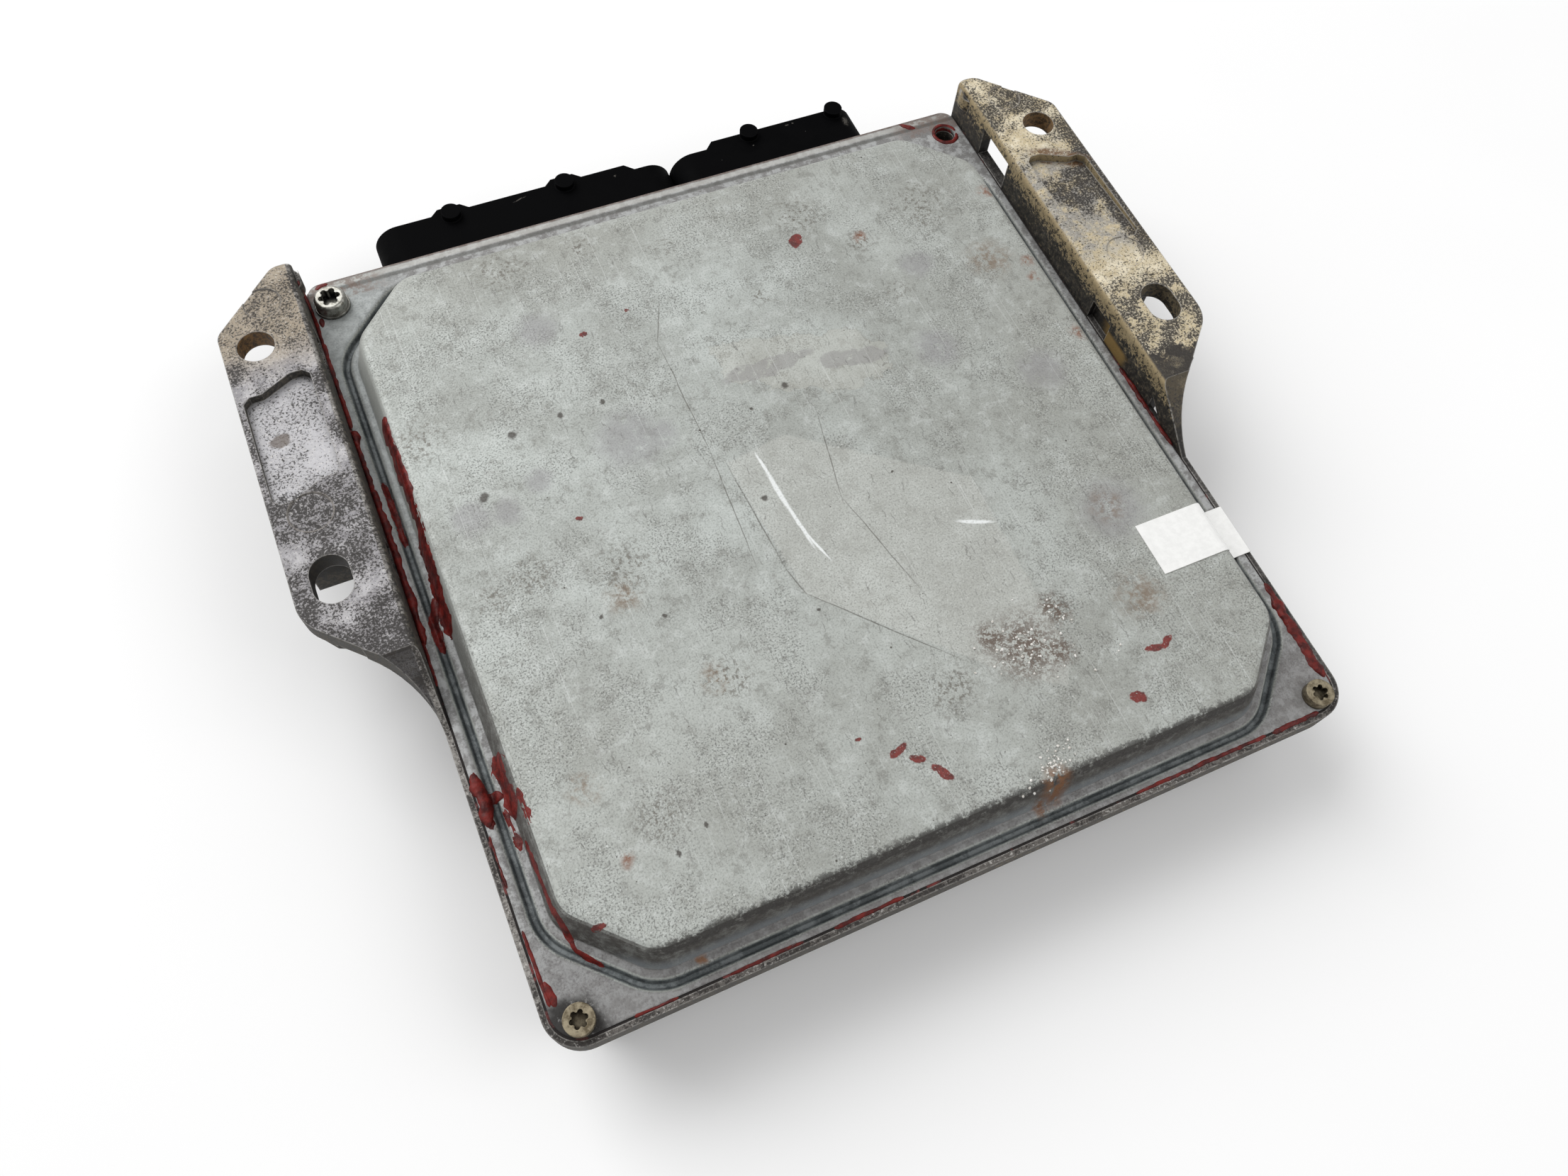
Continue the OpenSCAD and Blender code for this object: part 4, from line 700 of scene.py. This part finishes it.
# Beads of sealant: path, half width and height. The crack runs between cover and lip, and the last bead
# lies round the open screw hole
CRACK = COVER_X + 0.2
CRACK_FRONT = COVER_FRONT - 0.2
BEADS = [
    ([(-CRACK, 92), (-CRACK, 78)], 0.5, 0.3),
    ([(-CRACK, 80), (-CRACK, 53)], 0.7, 0.5),
    ([(-CRACK - 0.2, 53), (-CRACK + 0.2, 47.5)], 1.9, 1.5),
    ([(-CRACK, 50), (-CRACK + 0.2, 35)], 0.7, 0.5),
    ([(-CRACK, 36.5), (-CRACK + 0.7, 31.5)], 1.4, 1.2),
    ([(-CRACK + 0.3, 34), (-CRACK + 0.5, 15), (-CRACK + 0.4, -6)], 0.9, 0.7),
    ([(-CRACK, -4), (-CRACK, -16)], 0.4, 0.3),
    ([(-CRACK + 0.8, -36.5), (-CRACK + 1.3, -44), (-CRACK + 0.9, -49)], 1.2, 0.7),
    ([(-CRACK + 1.4, -42), (-86, -43), (-84.2, -43.6)], 1.2, 0.4),
    ([(-CRACK + 0.3, -50), (-CRACK + 0.3, -62)], 0.3, 0.2),
    ([(-CRACK + 0.5, -70), (-CRACK + 0.9, -86)], 0.35, 0.3),
    ([(-88.9, -80.6), (-88.2, -86.4)], 0.8, 0.3),
    ([(-83.2, 20), (-83.4, 8), (-84.2, 1)], 1.2, 0.5),
    ([(-84.6, 4.5), (-86.8, -1.5), (-86.8, -8)], 1.1, 0.45),
    ([(-87.2, 37), (-87.1, 20)], 0.6, 0.35),
    ([(-82.6, 49), (-82.3, 38), (-82.2, 25.5)], 0.8, 0.3),
    ([(-75.5, CRACK_FRONT), (-66, CRACK_FRONT)], 0.3, 0.3),
    ([(-56, CRACK_FRONT), (-40, CRACK_FRONT)], 0.3, 0.3),
    ([(-34, CRACK_FRONT), (-18, CRACK_FRONT)], 0.35, 0.3),
    ([(36, CRACK_FRONT), (70, CRACK_FRONT)], 0.4, 0.35),
    ([(71, CRACK_FRONT), (84, CRACK_FRONT)], 0.5, 0.4),
    ([(CRACK - 0.1, -65), (CRACK - 0.5, -76), (CRACK - 0.7, -87.5)], 1.2, 0.7),
    ([(CRACK, 3), (CRACK, -22.5)], 0.8, 0.6),
    ([(CRACK, -62), (CRACK, -67)], 0.7, 0.5),
    ([(74.3, 97.6), (78.5, 94.4)], 0.8, 0.4),
    ([(-87.9, 96.4), (-84, 97.4)], 0.6, 0.35),
    ([(-88.6, 87.5), (-88.9, 84)], 0.7, 0.35),
    (ring(SCREW_X, SCREW_Y, 3.2), 0.6, 0.35),
]
# Dried sealant smeared thinly over the cover: path and half width
SMEARS = [
    ([(-83, 50), (-82.8, 37), (-82.6, 25.7), (-82.7, 18)], 1.0),
    ([(-82.8, 21), (-83.3, 8), (-84, 0.8), (-84, -7)], 1.4),
    ([(-85, 5), (-86.6, -1), (-86.6, -9)], 1.2),
    ([(-87.4, 38), (-87.1, 19)], 0.7),
    ([(-84.2, -34.5), (-83.6, -42), (-83.8, -50)], 1.6),
    ([(-85.5, -45), (-85, -56)], 0.8),
    ([(-81.4, -45), (-81.2, -54.5)], 0.9),
    ([(-83.6, -54), (-83, -68), (-81.4, -77.8), (-77, -83)], 0.5),
    ([(-88.9, -36), (-88.8, -50)], 0.8),
]
SMEAR_H = 0.14


def sealant():
    bm = bmesh.new()
    for seed, (path, half_width, height) in enumerate(BEADS):
        bead(bm, path, half_width, height, seed)
    for seed, (path, half_width) in enumerate(SMEARS):
        bead(bm, path, half_width, SMEAR_H, seed + len(BEADS))
    laid_piece("sealant_beads", bm, sealant_finish())


# White grit on the corroded patch and near the front edge: middle, spread along and across, turn, count
GRIT_SIZE = (0.12, 0.38)
GRIT = [(26.8, -57.4, 5.5, 3, -30, 70), (36, -51, 4, 2, -50, 16), (45.8, -65.7, 0.8, 0.8, 0, 4),
        (19.4, -82.6, 3, 1.1, 22, 60)]


def grit_finish():
    f = Finish("white corrosion grit")
    cloud = f.noise(0.8, 4)
    colour = f.mix(f.step(cloud, 0.35, 0.65), paint(196, 192, 184), paint(236, 234, 230))
    return f.finish(colour, f.step(cloud, 0.3, 0.7, 0.7, 0.9))


def grain(bm, x, y, size, seed):
    """One rough lump sitting on the surface."""
    place, normal = ground(x, y)
    made = bmesh.ops.create_icosphere(bm, subdivisions=1, radius=size * MM)
    for vertex in made["verts"]:
        swell = 1 + 0.6 * noise.noise(vertex.co / (size * MM) + Vector((seed, 0, 0)))
        vertex.co = place + normal * size * 0.2 * MM + vertex.co * swell


def grit():
    draw = random.Random(7)
    bm = bmesh.new()
    for x, y, long_spread, cross_spread, angle, count in GRIT:
        turn = math.radians(angle)
        for i in range(count):
            u = draw.gauss(0, long_spread)
            v = draw.gauss(0, cross_spread)
            across = x + u * math.cos(turn) - v * math.sin(turn)
            along = y + u * math.sin(turn) + v * math.cos(turn)
            grain(bm, across, along, draw.uniform(*GRIT_SIZE), i)
    laid_piece("corrosion_grit", bm, grit_finish())


sealant()
grit()


# Studio
def floor_finish():
    f = Finish("pale floor")
    cloud = f.noise(300, 3)
    colour = f.mix(f.step(cloud, 0.3, 0.7), (0.9, 0.9, 0.9, 1), (0.93, 0.93, 0.93, 1))
    return f.finish(colour, 0.9)


def floor():
    half_width_metres = 4.0
    bm = bmesh.new()
    bmesh.ops.create_grid(bm, x_segments=8, y_segments=8, size=half_width_metres)
    mesh = bpy.data.meshes.new("floor")
    bm.to_mesh(mesh)
    bm.free()
    made = bpy.data.objects.new("floor", mesh)
    bpy.context.scene.collection.objects.link(made)
    mesh.materials.append(floor_finish())


def lamp(name, place, size, power):
    """Square soft box at a place in metres, aimed at the middle of the part."""
    data = bpy.data.lights.new(name, "AREA")
    data.size = size
    data.energy = power
    made = bpy.data.objects.new(name, data)
    made.location = place
    middle = Vector((0, 0, 0.02))
    made.rotation_euler = (middle - made.location).to_track_quat("-Z", "Y").to_euler()
    bpy.context.scene.collection.objects.link(made)


def studio():
    world = bpy.data.worlds.new("studio")
    bpy.context.scene.world = world
    world.use_nodes = True
    background = world.node_tree.nodes["Background"]
    background.inputs["Color"].default_value = (1, 1, 1, 1)
    background.inputs["Strength"].default_value = 0.5
    lamp("key", (-0.7, 1.1, 1.3), 1.4, 26)
    lamp("fill", (0.9, -0.6, 1.2), 1.0, 6)


# Camera solved from the four screw places in the photograph: place, turn in degrees, lens and sensor
CAMERA_PLACE = (-73.01, -121.03, 263.21)
CAMERA_TURN = (25.99, -3.61, -23.74)
CAMERA_LENS = 26.98
SENSOR_WIDTH = 36


def camera():
    data = bpy.data.cameras.new("camera")
    data.sensor_width = SENSOR_WIDTH
    data.lens = CAMERA_LENS
    made = bpy.data.objects.new("camera", data)
    made.location = Vector(CAMERA_PLACE) * MM
    made.rotation_euler = Euler([math.radians(a) for a in CAMERA_TURN])
    bpy.context.scene.collection.objects.link(made)
    bpy.context.scene.camera = made


floor()
studio()
camera()
bpy.context.scene.view_settings.view_transform = "Standard"
